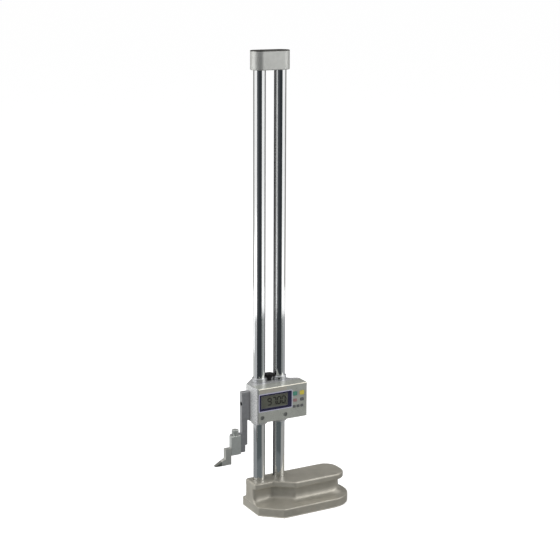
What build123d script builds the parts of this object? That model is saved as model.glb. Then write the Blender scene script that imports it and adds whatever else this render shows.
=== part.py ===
"""Digital height gauge with two round columns, a slider carried on both of them and a heavy cast base.

Frame: +X runs along the base towards its long grip, +Y runs to the rear and +Z is up.
The origin lies on the underside of the base, midway between the two column axes.
The slider is drawn where it rests, with the scriber at scriber_rest above the plate.
All sizes are in millimetres.
"""

from math import acos, cos, pi, radians, sin, sqrt, tan
import os

from build123d import *

os.makedirs("parts", exist_ok=True)

# ----------------------------------------------------------------------------
# Driving dimensions: columns, travel and cap
# ----------------------------------------------------------------------------
column_diameter = 20.0
column_spacing = 37.45
travel = 600.0
scriber_rest = 97.0
lowest_scriber = 0.5
end_gap = 0.6
cap_height = 30.9
cap_end_radius = 15.1
cap_seat = 20.0
cap_edge = 1.6
column_chamfer = 1.0
column_screw_radius = 3.0
column_screw_depth = 14.0
screw_head_radius = 5.0
screw_head_height = 5.0
screw_socket_radius = 2.4
screw_socket_depth = 2.6

# Clearances and fits
seat_fit = 0.02
running_fit = 0.05
part_gap = 0.3
key_gap = 0.2

# Base: a top plate, a waist undercut as a grip, and a wide flange
base_left = 38.9
plate_top = 51.7
plate_thickness = 10.2
plate_rear = 13.5
plate_front_left = 23.4
plate_front = 46.4
plate_right = 130.1
plate_flare_start = -4.4
plate_flare_end = 26.5
plate_end_radius = 24.0
plate_edge = 1.6
grip_depth = 8.4
grip_rear_start = 24.0
grip_rear_end = 36.0
waist_rear_step = 0.5
waist_foot = 29.6
flange_edge_height = 15.4
flange_rear = 24.5
flange_front_left = 34.8
flange_front = 64.0
flange_right = 136.8
flange_flare_end = -4.8
flange_end_radius = 42.0
flange_edge = 3.2
flange_ledge_share = 0.14
cove_slope_share = 0.65
base_corner = 4.0
column_seat_floor = 12.0
relief_depth = 3.0
relief_margin = 16.0
relief_start = 44.0
relief_end = 118.0
relief_corner = 8.0

# Rack and pinions
module = 0.8
pinion_teeth = 18
pressure_angle = 20.0
backlash = 0.12
pinion_width = 5.4
pinion_depth_gap = 0.05
rack_width = 6.0
rack_back = 2.6
rack_flat = 0.45
rack_end_gap = 1.0
pinion_pitch_steps = 8

# Slider housing, measured from its underside
slider_rise = 66.0
cover_drop = 2.5
housing_left = 43.7
housing_right = 51.3
housing_rear = 30.1
cover_split = 17.0
cover_front = 39.8
cheek_thickness = 2.6
cheek_setback = 0.9
seam_gap = 0.5
rear_left_start = 0.0
rear_flat_left = -13.5
rear_flat_right = 19.3
wing_root_x = 35.5
wing_root_y = -3.1
wing_tip_y = -10.5
side_corner = 3.0
rear_corner = 7.0
wing_corner = 9.0
housing_edge = 1.0
boss_radius = 16.5
boss_foot_radius = 13.4
boss_drop = 10.5
bore_clearance = 0.6

# Column bushes
bush_outer_radius = 12.1
upper_bush_seat = 12.0
collar_height = 7.5
lower_bush_seat = 10.5
lower_bush_drop = 12.0
bush_edge = 0.7
collar_screw_height = 3.2
collar_screw_radius = 1.6
collar_screw_angle = 242.0
collar_screw_setback = 0.5
collar_screw_length = 1.2

# Clamp knob between the columns, and its shoes
knob_height = 11.8
knob_radius = 8.0
knob_rim = 4.0
knob_cone_radius = 6.6
knob_neck_radius = 3.6
knob_neck_height = 2.6
knob_flutes = 24
knob_flute_radius = 0.45
knob_edge = 0.6
knob_screw_radius = 2.5
knob_cone = 3.4
knob_cone_tip = 0.5
knob_cone_lead = 1.0
shoe_radius = 2.3
shoe_wall = 1.0
shoe_inner = 2.9

# Feed wheel, its shaft and bush
feed_height = 13.0
pinion_pocket_gap = 0.6
pocket_floor = 4.5
shaft_radius = 3.0
shaft_front_journal = 5.5
bush_start = 10.2
feed_flange_radius = 12.0
feed_flange = 2.4
wheel_gap = 0.4
wheel_radius = 18.0
wheel_width = 11.0
wheel_flutes = 30
wheel_flute_radius = 0.8
wheel_edge = 1.2
wheel_dish_radius = 13.0
wheel_dish_depth = 3.0
wheel_hub_radius = 6.0
wheel_screw_radius = 1.5
wheel_screw_head = 3.0
wheel_screw_head_height = 2.0
wheel_screw_length = 8.0

# Encoder
encoder_shaft_radius = 2.0
encoder_rear_journal = 5.5
encoder_disc_radius = 9.0
encoder_disc_thickness = 1.0
encoder_disc_gap = 4.0
encoder_hub_radius = 3.6
encoder_hub_width = 2.0
sensor_width = 8.0
sensor_height = 9.0
sensor_depth = 8.0
sensor_slot = 2.2
sensor_reach = 3.0

# Front cover and display
cover_wall = 2.0
cover_corner = 3.0
cover_edge = 0.9
bezel_left = -39.5
bezel_right = 21.3
bezel_bottom = 20.3
bezel_height = 28.2
bezel_recess = 1.0
bezel_thickness = 1.25
bezel_corner = 1.4
window_left = -36.2
window_right = 14.3
window_bottom = 24.3
window_height = 21.7
window_ledge = 0.8
window_thickness = 1.05
lcd_margin = 1.4
lcd_thickness = 2.6
board_thickness = 1.4
board_left = -37.0
board_right = 47.0
board_top_gap = 3.0
board_post_x = 18.5
post_radius = 2.6
post_screw_radius = 1.1
post_screw_head_radius = 2.2
post_screw_head_height = 1.4
post_screw_length = 4.0
post_inset = 3.2

# Keys: name, x, height above the cover's lower edge, width, height
key_proud = 1.1
key_corner = 1.0
key_flange = 0.9
key_flange_thickness = 0.7
key_flange_gap = 0.1
key_edge = 0.35
switch_height = 1.0
switch_radius = 1.8
left_key_x = 27.6
right_key_x = 40.7
upper_row = 42.1
middle_row = 30.5
lower_row = 19.7
lower_key_pitch = 7.3
large_key = (7.8, 7.0)
medium_key = (6.6, 5.0)
small_key = (4.8, 4.2)

# Battery and its cap
battery_radius = 6.0
battery_length = 30.2
battery_setback = 15.0
battery_drop = 13.0
battery_wall = 1.1
battery_gap = 0.1
battery_cap_radius = 7.4
battery_cap_head = 1.2
battery_cap_depth = 3.4
battery_slot_width = 1.6
battery_slot_depth = 0.8

# Screws that hold the front cover
left_cover_screw_x = -33.8
right_cover_screw_x = 9.4
cover_screw_rise = 8.6
cover_screw_radius = 1.6
cover_screw_head = 3.3
cover_screw_head_height = 1.3
cover_screw_sink = 0.6
cover_screw_recess = 3.6
cover_screw_grip = 6.0
cover_post_radius = 4.2
cross_width = 0.7
cross_length = 3.2
cross_depth = 0.7

# Cover of the data socket, in the underside of the front cover
socket_x = -10.0
socket_width = 22.0
socket_depth = 9.0
socket_setback = 11.0
socket_cover_sink = 0.2
socket_body_height = 7.0

# Arm that carries the scriber
arm_front = 15.0
arm_depth = 8.0
arm_inner = 48.5
arm_outer = 58.8
arm_top_drop = 9.0
arm_foot = 25.5
arm_pad_foot = 68.5
arm_edge = 0.7
jaw_foot = 13.5
jaw_height = 33.0
jaw_reach = 12.1
jaw_inner = 52.4
arm_screw_radius = 2.0
arm_screw_head = 3.5
arm_screw_head_height = 3.6
arm_screw_sink = 5.0
arm_screw_grip = 6.0
arm_screw_height = 97.5

# Scriber clamp, thumb screw and scriber, heights above the scriber's measuring face
clamp_inner = 65.9
clamp_width = 17.5
clamp_front = 25.0
clamp_back = 15.7
clamp_foot = 15.0
clamp_height = 33.0
clamp_edge = 0.6
shank_bottom = 17.2
shank_height = 8.0
shank_depth = 5.8
shank_gap = 0.1
shank_end_gap = 0.6
thumb_radius = 5.8
thumb_height = 7.0
thumb_flutes = 20
thumb_flute_radius = 0.45
thumb_edge = 0.5
thumb_neck_radius = 3.0
thumb_neck_height = 3.2
thumb_screw_radius = 2.4
clamp_screw_radius = 1.6
clamp_screw_head = 2.8
clamp_screw_head_height = 2.0
clamp_screw_grip = 4.0
clamp_screw_inset = 3.3
clamp_screw_heights = (30.5, 42.0)
scriber_gap = 0.3
scriber_width = 10.2
scriber_height = 27.8
scriber_depth = 8.4
foot_shoulder_reach = 3.8
foot_shoulder_height = 9.1
scriber_tip_reach = 18.8
scriber_tip_height = 0.8
tip_length = 11.5
tip_depth_share = 0.75

# ----------------------------------------------------------------------------
# Derived positions
# ----------------------------------------------------------------------------
column_radius = column_diameter / 2
left_x = -column_spacing / 2
right_x = column_spacing / 2
column_places = [(left_x, 0), (right_x, 0)]

# the display with its board and their posts sets the height of the slider
lcd_low = window_bottom - lcd_margin
lcd_high = window_bottom + window_height + lcd_margin
low_post_rise = lcd_low - part_gap - post_radius
high_post_rise = lcd_high + part_gap + post_radius
board_bottom = low_post_rise - post_inset
board_height = high_post_rise + post_inset - board_bottom
cover_height = board_bottom + board_height + board_top_gap + cover_wall
housing_height = cover_drop + cover_height

housing_bottom = scriber_rest + slider_rise
housing_top = housing_bottom + housing_height
cover_bottom = housing_bottom + cover_drop
knob_top = housing_top + knob_height
cap_bottom = knob_top + travel - (scriber_rest - lowest_scriber) + end_gap
cap_top = cap_bottom + cap_height
column_top = cap_bottom + cap_seat
column_length = column_top - column_seat_floor
bore_radius = column_radius + bore_clearance
bush_bore_radius = column_radius + running_fit

tooth_pitch = pi * module
pitch_radius = module * pinion_teeth / 2
tip_radius = pitch_radius + module
root_radius = pitch_radius - 1.25 * module
pocket_radius = tip_radius + pinion_pocket_gap
rack_tip_x = right_x - column_radius + rack_flat
rack_pitch_x = rack_tip_x + module
rack_root_x = rack_pitch_x + 1.25 * module
rack_back_x = rack_root_x + rack_back
pinion_x = rack_pitch_x - pitch_radius - pinion_depth_gap
feed_z = housing_bottom + feed_height
encoder_z = feed_z + pinion_pitch_steps * tooth_pitch
shoe_z = encoder_z + pocket_radius + shoe_wall + shoe_radius
knob_cone_start = shoe_z + knob_cone_lead
clamp_outer = clamp_inner + clamp_width
clamp_mid_x = -clamp_inner - clamp_width / 2


def front_plane(y, x=0, z=0):
    """Plane at the given y that faces the front, with its own x along X and its own y along Z."""
    return Plane(origin=(x, y, z), x_dir=(1, 0, 0), z_dir=(0, -1, 0))


def finish(part, name):
    """Label a finished sub-part and write its STEP file."""
    part.label = name
    export_step(part, f"parts/{name}.step")


# ----------------------------------------------------------------------------
# Base
# ----------------------------------------------------------------------------
# Each level of the base is a plan with eight corners, counted from the rear grip's start
# round the left end, the front and the right end, and the two radii that round it.


def plan_face(corners, corner_radius, end_radius):
    """Face of one level of the base: small radii at the left end, large ones at the right."""
    with BuildSketch() as face:
        with BuildLine():
            FilletPolyline(*corners[0:4], radius=corner_radius)
            Line(corners[3], corners[4])
            FilletPolyline(*corners[4:8], radius=end_radius)
            Line(corners[7], corners[0])
        make_face()
    return face.sketch


def blend_corners(lower, upper, share):
    """Corners between two plans, at the given share of the way from the lower to the upper."""
    return [(a[0] + (b[0] - a[0]) * share, a[1] + (b[1] - a[1]) * share) for a, b in zip(lower, upper)]


flare_angle = pi / 2 - acos(
    (plate_front - plate_front_left)
    / sqrt((plate_front - plate_front_left) ** 2 + (plate_flare_end - plate_flare_start) ** 2)
)
flare_shift = grip_depth * tan(flare_angle / 2)
waist_rear = plate_rear - waist_rear_step
waist_end_radius = plate_end_radius - grip_depth
flange_flare_start = 0.35

plate_corners = [
    (grip_rear_start, plate_rear),
    (-base_left, plate_rear),
    (-base_left, -plate_front_left),
    (plate_flare_start, -plate_front_left),
    (plate_flare_end, -plate_front),
    (plate_right, -plate_front),
    (plate_right, plate_rear),
    (grip_rear_end, plate_rear),
]
waist_corners = [
    (grip_rear_start, waist_rear),
    (-base_left, waist_rear),
    (-base_left, -plate_front_left + grip_depth),
    (plate_flare_start + flare_shift, -plate_front_left + grip_depth),
    (plate_flare_end + flare_shift, -plate_front + grip_depth),
    (plate_right - grip_depth, -plate_front + grip_depth),
    (plate_right - grip_depth, plate_rear - grip_depth),
    (grip_rear_end, plate_rear - grip_depth),
]
flange_corners = [
    (grip_rear_start, flange_rear),
    (-base_left, flange_rear),
    (-base_left, -flange_front_left),
    (
        -base_left + (flange_flare_end + base_left) * flange_flare_start,
        -flange_front_left - (flange_front - flange_front_left) * flange_flare_start,
    ),
    (flange_flare_end, -flange_front),
    (flange_right, -flange_front),
    (flange_right, flange_rear),
    (grip_rear_end, flange_rear),
]


def cove_height(share):
    """Height of the cove above the flange, which leaves it gently and ends upright at the waist."""
    curved = 1 - sqrt(max(0.0, 1 - share**2))
    return (waist_foot - flange_edge_height) * (cove_slope_share * share + (1 - cove_slope_share) * curved)


cove_shares = [flange_ledge_share, 0.4, 0.65, 0.85, 0.95, 1.0]
relief_front = -flange_front + relief_margin
relief_rear = plate_rear - relief_margin / 4

with BuildPart() as base:
    with BuildSketch():
        add(plan_face(flange_corners, base_corner, flange_end_radius))
    extrude(amount=flange_edge_height)
    fillet(base.edges().group_by(Axis.Z)[-1], radius=flange_edge)
    for share in cove_shares:
        rise = cove_height(share) - cove_height(flange_ledge_share)
        with BuildSketch(Plane.XY.offset(flange_edge_height + rise)):
            add(
                plan_face(
                    blend_corners(flange_corners, waist_corners, share),
                    base_corner,
                    flange_end_radius + (waist_end_radius - flange_end_radius) * share,
                )
            )
    loft()
    waist_bottom = flange_edge_height + cove_height(1.0) - cove_height(flange_ledge_share)
    with BuildSketch(Plane.XY.offset(waist_bottom)):
        add(plan_face(waist_corners, base_corner, waist_end_radius))
    extrude(amount=plate_top - plate_thickness / 2 - waist_bottom)
    with BuildSketch(Plane.XY.offset(plate_top - plate_thickness)):
        add(plan_face(plate_corners, base_corner, plate_end_radius))
    extrude(amount=plate_thickness)
    fillet(base.faces().sort_by(Axis.Z)[-1].edges(), radius=plate_edge)
    # seats of the two columns, each held by a screw from below
    with BuildSketch(Plane.XY.offset(plate_top)):
        with Locations(*column_places):
            Circle(column_radius + seat_fit)
    extrude(amount=column_seat_floor - plate_top, mode=Mode.SUBTRACT)
    with Locations(Plane.XY.rotated((180, 0, 0))):
        with Locations(*column_places):
            CounterBoreHole(
                radius=column_screw_radius + part_gap,
                counter_bore_radius=screw_head_radius + part_gap,
                counter_bore_depth=screw_head_height + part_gap,
                depth=column_seat_floor,
            )
    # relief under the grip, so that the base stands on its rim
    with BuildSketch():
        with Locations(((relief_start + relief_end) / 2, (relief_front + relief_rear) / 2)):
            RectangleRounded(relief_end - relief_start, relief_rear - relief_front, relief_corner)
    extrude(amount=relief_depth, mode=Mode.SUBTRACT)
finish(base.part, "base")

# ----------------------------------------------------------------------------
# Columns, rack, cap and their screws
# ----------------------------------------------------------------------------
rack_low = plate_top + rack_end_gap
rack_high = cap_bottom - rack_end_gap
rack_tooth_count = int((rack_high - rack_low) / tooth_pitch)
first_gap_step = int((feed_z - rack_low) / tooth_pitch)
rack_start = feed_z - first_gap_step * tooth_pitch
rack_end = rack_start + rack_tooth_count * tooth_pitch


def column(x, with_rack):
    """One column with a threaded hole in each end, and a groove for the rack where it carries one."""
    with BuildPart() as bar:
        with BuildSketch(Plane.XY.offset(column_seat_floor)):
            with Locations((x, 0)):
                Circle(column_radius)
        extrude(amount=column_length)
        chamfer(bar.edges().filter_by(GeomType.CIRCLE), length=column_chamfer)
        for level, depth in ((column_seat_floor, column_screw_depth), (column_top, -column_screw_depth)):
            with BuildSketch(Plane.XY.offset(level)):
                with Locations((x, 0)):
                    Circle(column_screw_radius + seat_fit)
            extrude(amount=depth, mode=Mode.SUBTRACT)
        if with_rack:
            groove_depth = rack_back_x + seat_fit - (x - column_radius) + column_radius
            with BuildSketch(Plane.XY.offset(rack_start)):
                with Locations((rack_back_x + seat_fit - groove_depth / 2, 0)):
                    Rectangle(groove_depth, rack_width + 2 * seat_fit)
            extrude(amount=rack_end - rack_start, mode=Mode.SUBTRACT)
    return bar.part


finish(column(left_x, False), "left_column")
finish(column(right_x, True), "right_column")

# Straight-sided teeth at the pressure angle; the first and last points lie in tooth gaps.
half_thick_pitch = tooth_pitch / 4 - backlash / 4
flank_slope = tan(radians(pressure_angle))
half_thick_tip = half_thick_pitch - module * flank_slope
half_thick_root = half_thick_pitch + 1.25 * module * flank_slope

rack_points = [(rack_back_x, rack_start), (rack_root_x, rack_start)]
for tooth in range(rack_tooth_count):
    middle = rack_start + (tooth + 0.5) * tooth_pitch
    rack_points.append((rack_root_x, middle - half_thick_root))
    rack_points.append((rack_tip_x, middle - half_thick_tip))
    rack_points.append((rack_tip_x, middle + half_thick_tip))
    rack_points.append((rack_root_x, middle + half_thick_root))
rack_points.append((rack_root_x, rack_end))
rack_points.append((rack_back_x, rack_end))

with BuildPart() as rack:
    with BuildSketch(front_plane(rack_width / 2)):
        with BuildLine():
            Polyline(*rack_points, close=True)
        make_face()
    extrude(amount=rack_width)
finish(rack.part, "rack")

with BuildPart() as column_cap:
    with BuildSketch(Plane.XY.offset(cap_bottom)):
        SlotCenterToCenter(column_spacing, 2 * cap_end_radius)
    extrude(amount=cap_height)
    fillet(column_cap.faces().sort_by(Axis.Z)[0].edges(), radius=cap_edge)
    fillet(column_cap.faces().sort_by(Axis.Z)[-1].edges(), radius=cap_edge / 2)
    with BuildSketch(Plane.XY.offset(cap_bottom)):
        with Locations(*column_places):
            Circle(column_radius + seat_fit)
    extrude(amount=cap_seat, mode=Mode.SUBTRACT)
    with Locations(Plane.XY.offset(cap_top)):
        with Locations(*column_places):
            CounterBoreHole(
                radius=column_screw_radius + part_gap,
                counter_bore_radius=screw_head_radius + part_gap,
                counter_bore_depth=screw_head_height + part_gap,
            )
finish(column_cap.part, "column_cap")


def socket_screws(seat, direction, length):
    """A socket head screw at each column, its head's bearing face at seat and its head along direction."""
    with BuildPart() as screws:
        with BuildSketch(Plane.XY.offset(seat)):
            with Locations(*column_places):
                Circle(screw_head_radius)
        extrude(amount=direction * screw_head_height)
        with BuildSketch(Plane.XY.offset(seat)):
            with Locations(*column_places):
                Circle(column_screw_radius)
        extrude(amount=-direction * length)
        with BuildSketch(Plane.XY.offset(seat + direction * screw_head_height)):
            with Locations(*column_places):
                RegularPolygon(screw_socket_radius, 6)
        extrude(amount=-direction * screw_socket_depth, mode=Mode.SUBTRACT)
    return screws.part


base_screw_seat = screw_head_height + part_gap
cap_screw_seat = cap_top - screw_head_height - part_gap
screw_hold = column_screw_depth - 2.0
finish(socket_screws(base_screw_seat, -1, column_seat_floor - base_screw_seat + screw_hold), "base_screws")
finish(socket_screws(cap_screw_seat, 1, cap_screw_seat - column_top + screw_hold), "cap_screws")

# ----------------------------------------------------------------------------
# Slider housing
# ----------------------------------------------------------------------------
wing_right = housing_right
housing_points = [
    (-housing_left, -cover_split),
    (-housing_left, rear_left_start),
    (rear_flat_left, housing_rear),
    (rear_flat_right, housing_rear),
    (wing_root_x, wing_root_y),
    (wing_right, wing_tip_y),
    (wing_right, -cover_split),
]
housing_radii = [side_corner, rear_corner, rear_corner, rear_corner, wing_corner / 2]
upper_bush_bottom = housing_top - upper_bush_seat
lower_bush_top = housing_bottom - boss_drop + lower_bush_seat
pinion_half = pinion_width / 2

with BuildPart() as slider_housing:
    with BuildSketch(Plane.XY.offset(housing_bottom)):
        with BuildLine():
            FilletPolyline(*housing_points, radius=housing_radii)
            Line(housing_points[-1], housing_points[0])
        make_face()
    extrude(amount=housing_height)
    fillet(slider_housing.faces().sort_by(Axis.Z)[-1].edges().sort_by(Axis.Y)[1:], radius=housing_edge)
    # left cheek, which closes the side beside the front cover
    with BuildSketch(Plane.XY.offset(housing_bottom)):
        with Locations(
            (-housing_left + cheek_thickness / 2, -(cover_front - cheek_setback + cover_split) / 2)
        ):
            Rectangle(cheek_thickness, cover_front - cheek_setback - cover_split)
    extrude(amount=housing_height)
    # round bosses below the body, one about each column
    with BuildSketch(Plane.XY.offset(housing_bottom)):
        with Locations(*column_places):
            Circle(boss_radius)
    extrude(
        amount=-boss_drop,
        taper=180 / pi * (boss_radius - boss_foot_radius) / boss_drop,
    )
    # column bores with a wider seat for a bush at each end
    with BuildSketch(Plane.XY.offset(housing_top)):
        with Locations(*column_places):
            Circle(bore_radius)
    extrude(amount=-housing_height - boss_drop, mode=Mode.SUBTRACT)
    with BuildSketch(Plane.XY.offset(upper_bush_bottom)):
        with Locations(*column_places):
            Circle(bush_outer_radius + seat_fit)
    extrude(amount=upper_bush_seat, mode=Mode.SUBTRACT)
    with BuildSketch(Plane.XY.offset(lower_bush_top)):
        with Locations(*column_places):
            Circle(bush_outer_radius + seat_fit)
    extrude(amount=-lower_bush_seat, mode=Mode.SUBTRACT)
    # pocket and front journal of the feed pinion, bored from the rear
    with BuildSketch(front_plane(housing_rear)):
        with Locations((pinion_x, feed_z)):
            Circle(pocket_radius)
    extrude(amount=housing_rear + pocket_floor, mode=Mode.SUBTRACT)
    with BuildSketch(front_plane(-pocket_floor)):
        with Locations((pinion_x, feed_z)):
            Circle(shaft_radius + running_fit)
    extrude(amount=shaft_front_journal, mode=Mode.SUBTRACT)
    # pocket and rear journal of the encoder pinion, bored from the front
    with BuildSketch(front_plane(pocket_floor)):
        with Locations((pinion_x, encoder_z)):
            Circle(pocket_radius)
    extrude(amount=cover_split + pocket_floor, mode=Mode.SUBTRACT)
    with BuildSketch(front_plane(pocket_floor)):
        with Locations((pinion_x, encoder_z)):
            Circle(encoder_shaft_radius + running_fit)
    extrude(amount=-encoder_rear_journal, mode=Mode.SUBTRACT)
    # clamp screw hole and the cross hole of its shoes
    with BuildSketch(Plane.XY.offset(housing_top)):
        Circle(knob_screw_radius + running_fit)
    extrude(amount=knob_cone_start - knob_cone - part_gap - housing_top, mode=Mode.SUBTRACT)
    with BuildSketch(Plane.YZ.offset(left_x)):
        with Locations((0, shoe_z)):
            Circle(shoe_radius + seat_fit)
    extrude(amount=column_spacing, mode=Mode.SUBTRACT)
    # threaded holes for the screws of the front cover and of the arm
    with BuildSketch(front_plane(-cover_split)):
        with Locations(
            (left_cover_screw_x, cover_bottom + cover_screw_rise),
            (right_cover_screw_x, cover_bottom + cover_screw_rise),
        ):
            Circle(cover_screw_radius + seat_fit)
    extrude(amount=-cover_screw_grip - part_gap, mode=Mode.SUBTRACT)
    with BuildSketch(Plane.YZ.offset(-housing_left)):
        with Locations((-arm_front + arm_depth / 2, scriber_rest + arm_screw_height)):
            Circle(arm_screw_radius + seat_fit)
    extrude(amount=arm_screw_grip + part_gap, mode=Mode.SUBTRACT)
finish(slider_housing.part, "slider_housing")

# ----------------------------------------------------------------------------
# Bushes that guide the slider, with the upper ones standing proud as collars
# ----------------------------------------------------------------------------
collar_screw_z = housing_top + collar_screw_height
collar_screw_plane = Plane(
    origin=(right_x, 0, collar_screw_z),
    z_dir=(cos(radians(collar_screw_angle)), sin(radians(collar_screw_angle)), 0),
)


def bush(x, bottom, height, with_screw):
    """Plain bush about one column, with its outer ends rounded."""
    with BuildPart() as ring:
        with BuildSketch(Plane.XY.offset(bottom)):
            with Locations((x, 0)):
                Circle(bush_outer_radius)
        extrude(amount=height)
        chamfer(ring.edges().filter_by(GeomType.CIRCLE), length=bush_edge)
        with BuildSketch(Plane.XY.offset(bottom)):
            with Locations((x, 0)):
                Circle(bush_bore_radius)
        extrude(amount=height, mode=Mode.SUBTRACT)
        if with_screw:
            with BuildSketch(collar_screw_plane):
                Circle(collar_screw_radius + seat_fit)
            extrude(amount=bush_outer_radius + part_gap, mode=Mode.SUBTRACT)
    return ring.part


upper_bush_height = upper_bush_seat + collar_height
lower_bush_height = lower_bush_seat + lower_bush_drop - boss_drop
lower_bush_bottom = lower_bush_top - lower_bush_height
finish(bush(left_x, upper_bush_bottom, upper_bush_height, False), "left_upper_bush")
finish(bush(right_x, upper_bush_bottom, upper_bush_height, True), "right_upper_bush")
finish(bush(left_x, lower_bush_bottom, lower_bush_height, False), "left_lower_bush")
finish(bush(right_x, lower_bush_bottom, lower_bush_height, False), "right_lower_bush")

with BuildPart() as collar_screw:
    with BuildSketch(
        collar_screw_plane.offset(bush_outer_radius - collar_screw_setback - collar_screw_length)
    ):
        Circle(collar_screw_radius)
    extrude(amount=collar_screw_length)
    with BuildSketch(collar_screw_plane.offset(bush_outer_radius - collar_screw_setback)):
        RegularPolygon(collar_screw_radius / 2, 6)
    extrude(amount=-collar_screw_length / 2, mode=Mode.SUBTRACT)
finish(collar_screw.part, "collar_screw")

# ----------------------------------------------------------------------------
# Clamp knob and the shoes that it drives against the columns
# ----------------------------------------------------------------------------
knob_bottom = housing_top + part_gap


def fluted_disc(centre, bottom, height, radius, flutes, flute_radius):
    """Sketch of a round head with straight flutes cut into its rim."""
    with BuildSketch() as head:
        with Locations(centre):
            Circle(radius)
            with PolarLocations(radius, flutes):
                RegularPolygon(flute_radius, 4, mode=Mode.SUBTRACT)
    return head.sketch.moved(Location((0, 0, bottom)))


with BuildPart() as clamp_knob:
    with BuildSketch():
        add(fluted_disc((0, 0), 0, knob_rim, knob_radius, knob_flutes, knob_flute_radius))
    extrude(amount=knob_rim)
    chamfer(clamp_knob.faces().sort_by(Axis.Z)[-1].edges(), length=knob_edge)
clamp_knob_head = clamp_knob.part.moved(Location((0, 0, knob_top - knob_rim)))

with BuildPart() as clamp_knob:
    add(clamp_knob_head)
    with BuildSketch(Plane.XZ):
        with BuildLine():
            Polyline(
                (0, knob_top - knob_rim / 2),
                (knob_cone_radius, knob_top - knob_rim / 2),
                (knob_cone_radius, knob_top - knob_rim),
                (knob_neck_radius, knob_bottom + knob_neck_height),
                (knob_neck_radius, knob_bottom),
                (knob_screw_radius, knob_bottom),
                (knob_screw_radius, knob_cone_start),
                (knob_cone_tip, knob_cone_start - knob_cone),
                (0, knob_cone_start - knob_cone),
                close=True,
            )
        make_face()
    revolve(axis=Axis.Z)
finish(clamp_knob.part, "clamp_knob")

with BuildPart() as clamp_shoes:
    shoe_end = column_spacing / 2 - column_radius - running_fit
    for side in (-1, 1):
        with BuildSketch(Plane.YZ.offset(side * shoe_inner)):
            with Locations((0, shoe_z)):
                Circle(shoe_radius)
        extrude(amount=side * (shoe_end - shoe_inner))
    # hollow ends that lie along the columns
    with BuildSketch(Plane.XY.offset(shoe_z - 2 * shoe_radius)):
        with Locations(*column_places):
            Circle(column_radius + running_fit)
    extrude(amount=4 * shoe_radius, mode=Mode.SUBTRACT)
finish(clamp_shoes.part, "clamp_shoes")

# ----------------------------------------------------------------------------
# Pinions with involute teeth
# ----------------------------------------------------------------------------
base_radius = pitch_radius * cos(radians(pressure_angle))
flank_steps = 3


def involute(angle):
    """Involute function of an angle in radians."""
    return tan(angle) - angle


def pinion_face():
    """Face of the pinion, drawn about its own centre with one tooth pointing along +X."""
    half_tooth = pi / (2 * pinion_teeth) - backlash / (4 * pitch_radius) + involute(radians(pressure_angle))
    start_radius = max(base_radius, root_radius)
    flank = []
    for step in range(flank_steps + 1):
        radius = start_radius + (tip_radius - start_radius) * step / flank_steps
        flank.append((radius, half_tooth - involute(acos(min(1.0, base_radius / radius)))))
    root_angle = flank[0][1]
    outline = [(root_radius, -root_angle)]
    outline += [(radius, -angle) for radius, angle in flank]
    outline += [(radius, angle) for radius, angle in reversed(flank)]
    outline += [(root_radius, root_angle)]
    points = []
    for tooth in range(pinion_teeth):
        turn = 2 * pi * tooth / pinion_teeth
        points += [(radius * cos(angle + turn), radius * sin(angle + turn)) for radius, angle in outline]
    with BuildSketch() as face:
        with BuildLine():
            Polyline(*points, close=True)
        make_face()
    return face.sketch


def shaft_run(start, end, radius, height):
    """Round length of a shaft on the pinion's axis, between two y positions."""
    with BuildPart() as run:
        with BuildSketch(front_plane(end)):
            with Locations((pinion_x, height)):
                Circle(radius)
        extrude(amount=end - start)
    return run.part


pocket_end = -pocket_floor
wheel_front = housing_rear + feed_flange + wheel_gap
wheel_rear = wheel_front + wheel_width

with BuildPart() as feed_shaft:
    with BuildSketch(front_plane(pinion_half, pinion_x, feed_z)):
        add(pinion_face())
    extrude(amount=pinion_width)
    add(
        shaft_run(
            pocket_end - shaft_front_journal + part_gap,
            wheel_rear - wheel_dish_depth,
            shaft_radius,
            feed_z,
        )
    )
    with BuildSketch(front_plane(wheel_rear - wheel_dish_depth)):
        with Locations((pinion_x, feed_z)):
            Circle(wheel_screw_radius + seat_fit)
    extrude(amount=wheel_screw_length, mode=Mode.SUBTRACT)
finish(feed_shaft.part, "feed_shaft")

with BuildPart() as feed_bush:
    add(shaft_run(bush_start, housing_rear, pocket_radius - seat_fit, feed_z))
    add(shaft_run(housing_rear, housing_rear + feed_flange, feed_flange_radius, feed_z))
    chamfer(feed_bush.edges().sort_by(Axis.Y)[-1], length=wheel_edge / 2)
    add(
        shaft_run(bush_start, housing_rear + feed_flange, shaft_radius + running_fit, feed_z),
        mode=Mode.SUBTRACT,
    )
finish(feed_bush.part, "feed_bush")

with BuildPart() as feed_wheel:
    with BuildSketch(front_plane(wheel_rear)):
        with Locations((pinion_x, feed_z)):
            Circle(wheel_radius)
            with PolarLocations(wheel_radius, wheel_flutes):
                RegularPolygon(wheel_flute_radius, 4, mode=Mode.SUBTRACT)
    extrude(amount=wheel_width)
    # dished outer face with a hub in its middle
    with BuildSketch(front_plane(wheel_rear)):
        with Locations((pinion_x, feed_z)):
            Circle(wheel_dish_radius)
            Circle(wheel_hub_radius, mode=Mode.SUBTRACT)
    extrude(amount=wheel_dish_depth, mode=Mode.SUBTRACT)
    with BuildSketch(front_plane(wheel_rear)):
        with Locations((pinion_x, feed_z)):
            Circle(wheel_screw_head + part_gap)
    extrude(amount=wheel_dish_depth, mode=Mode.SUBTRACT)
    add(
        shaft_run(wheel_front, wheel_rear, shaft_radius + seat_fit, feed_z),
        mode=Mode.SUBTRACT,
    )
finish(feed_wheel.part, "feed_wheel")

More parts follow.
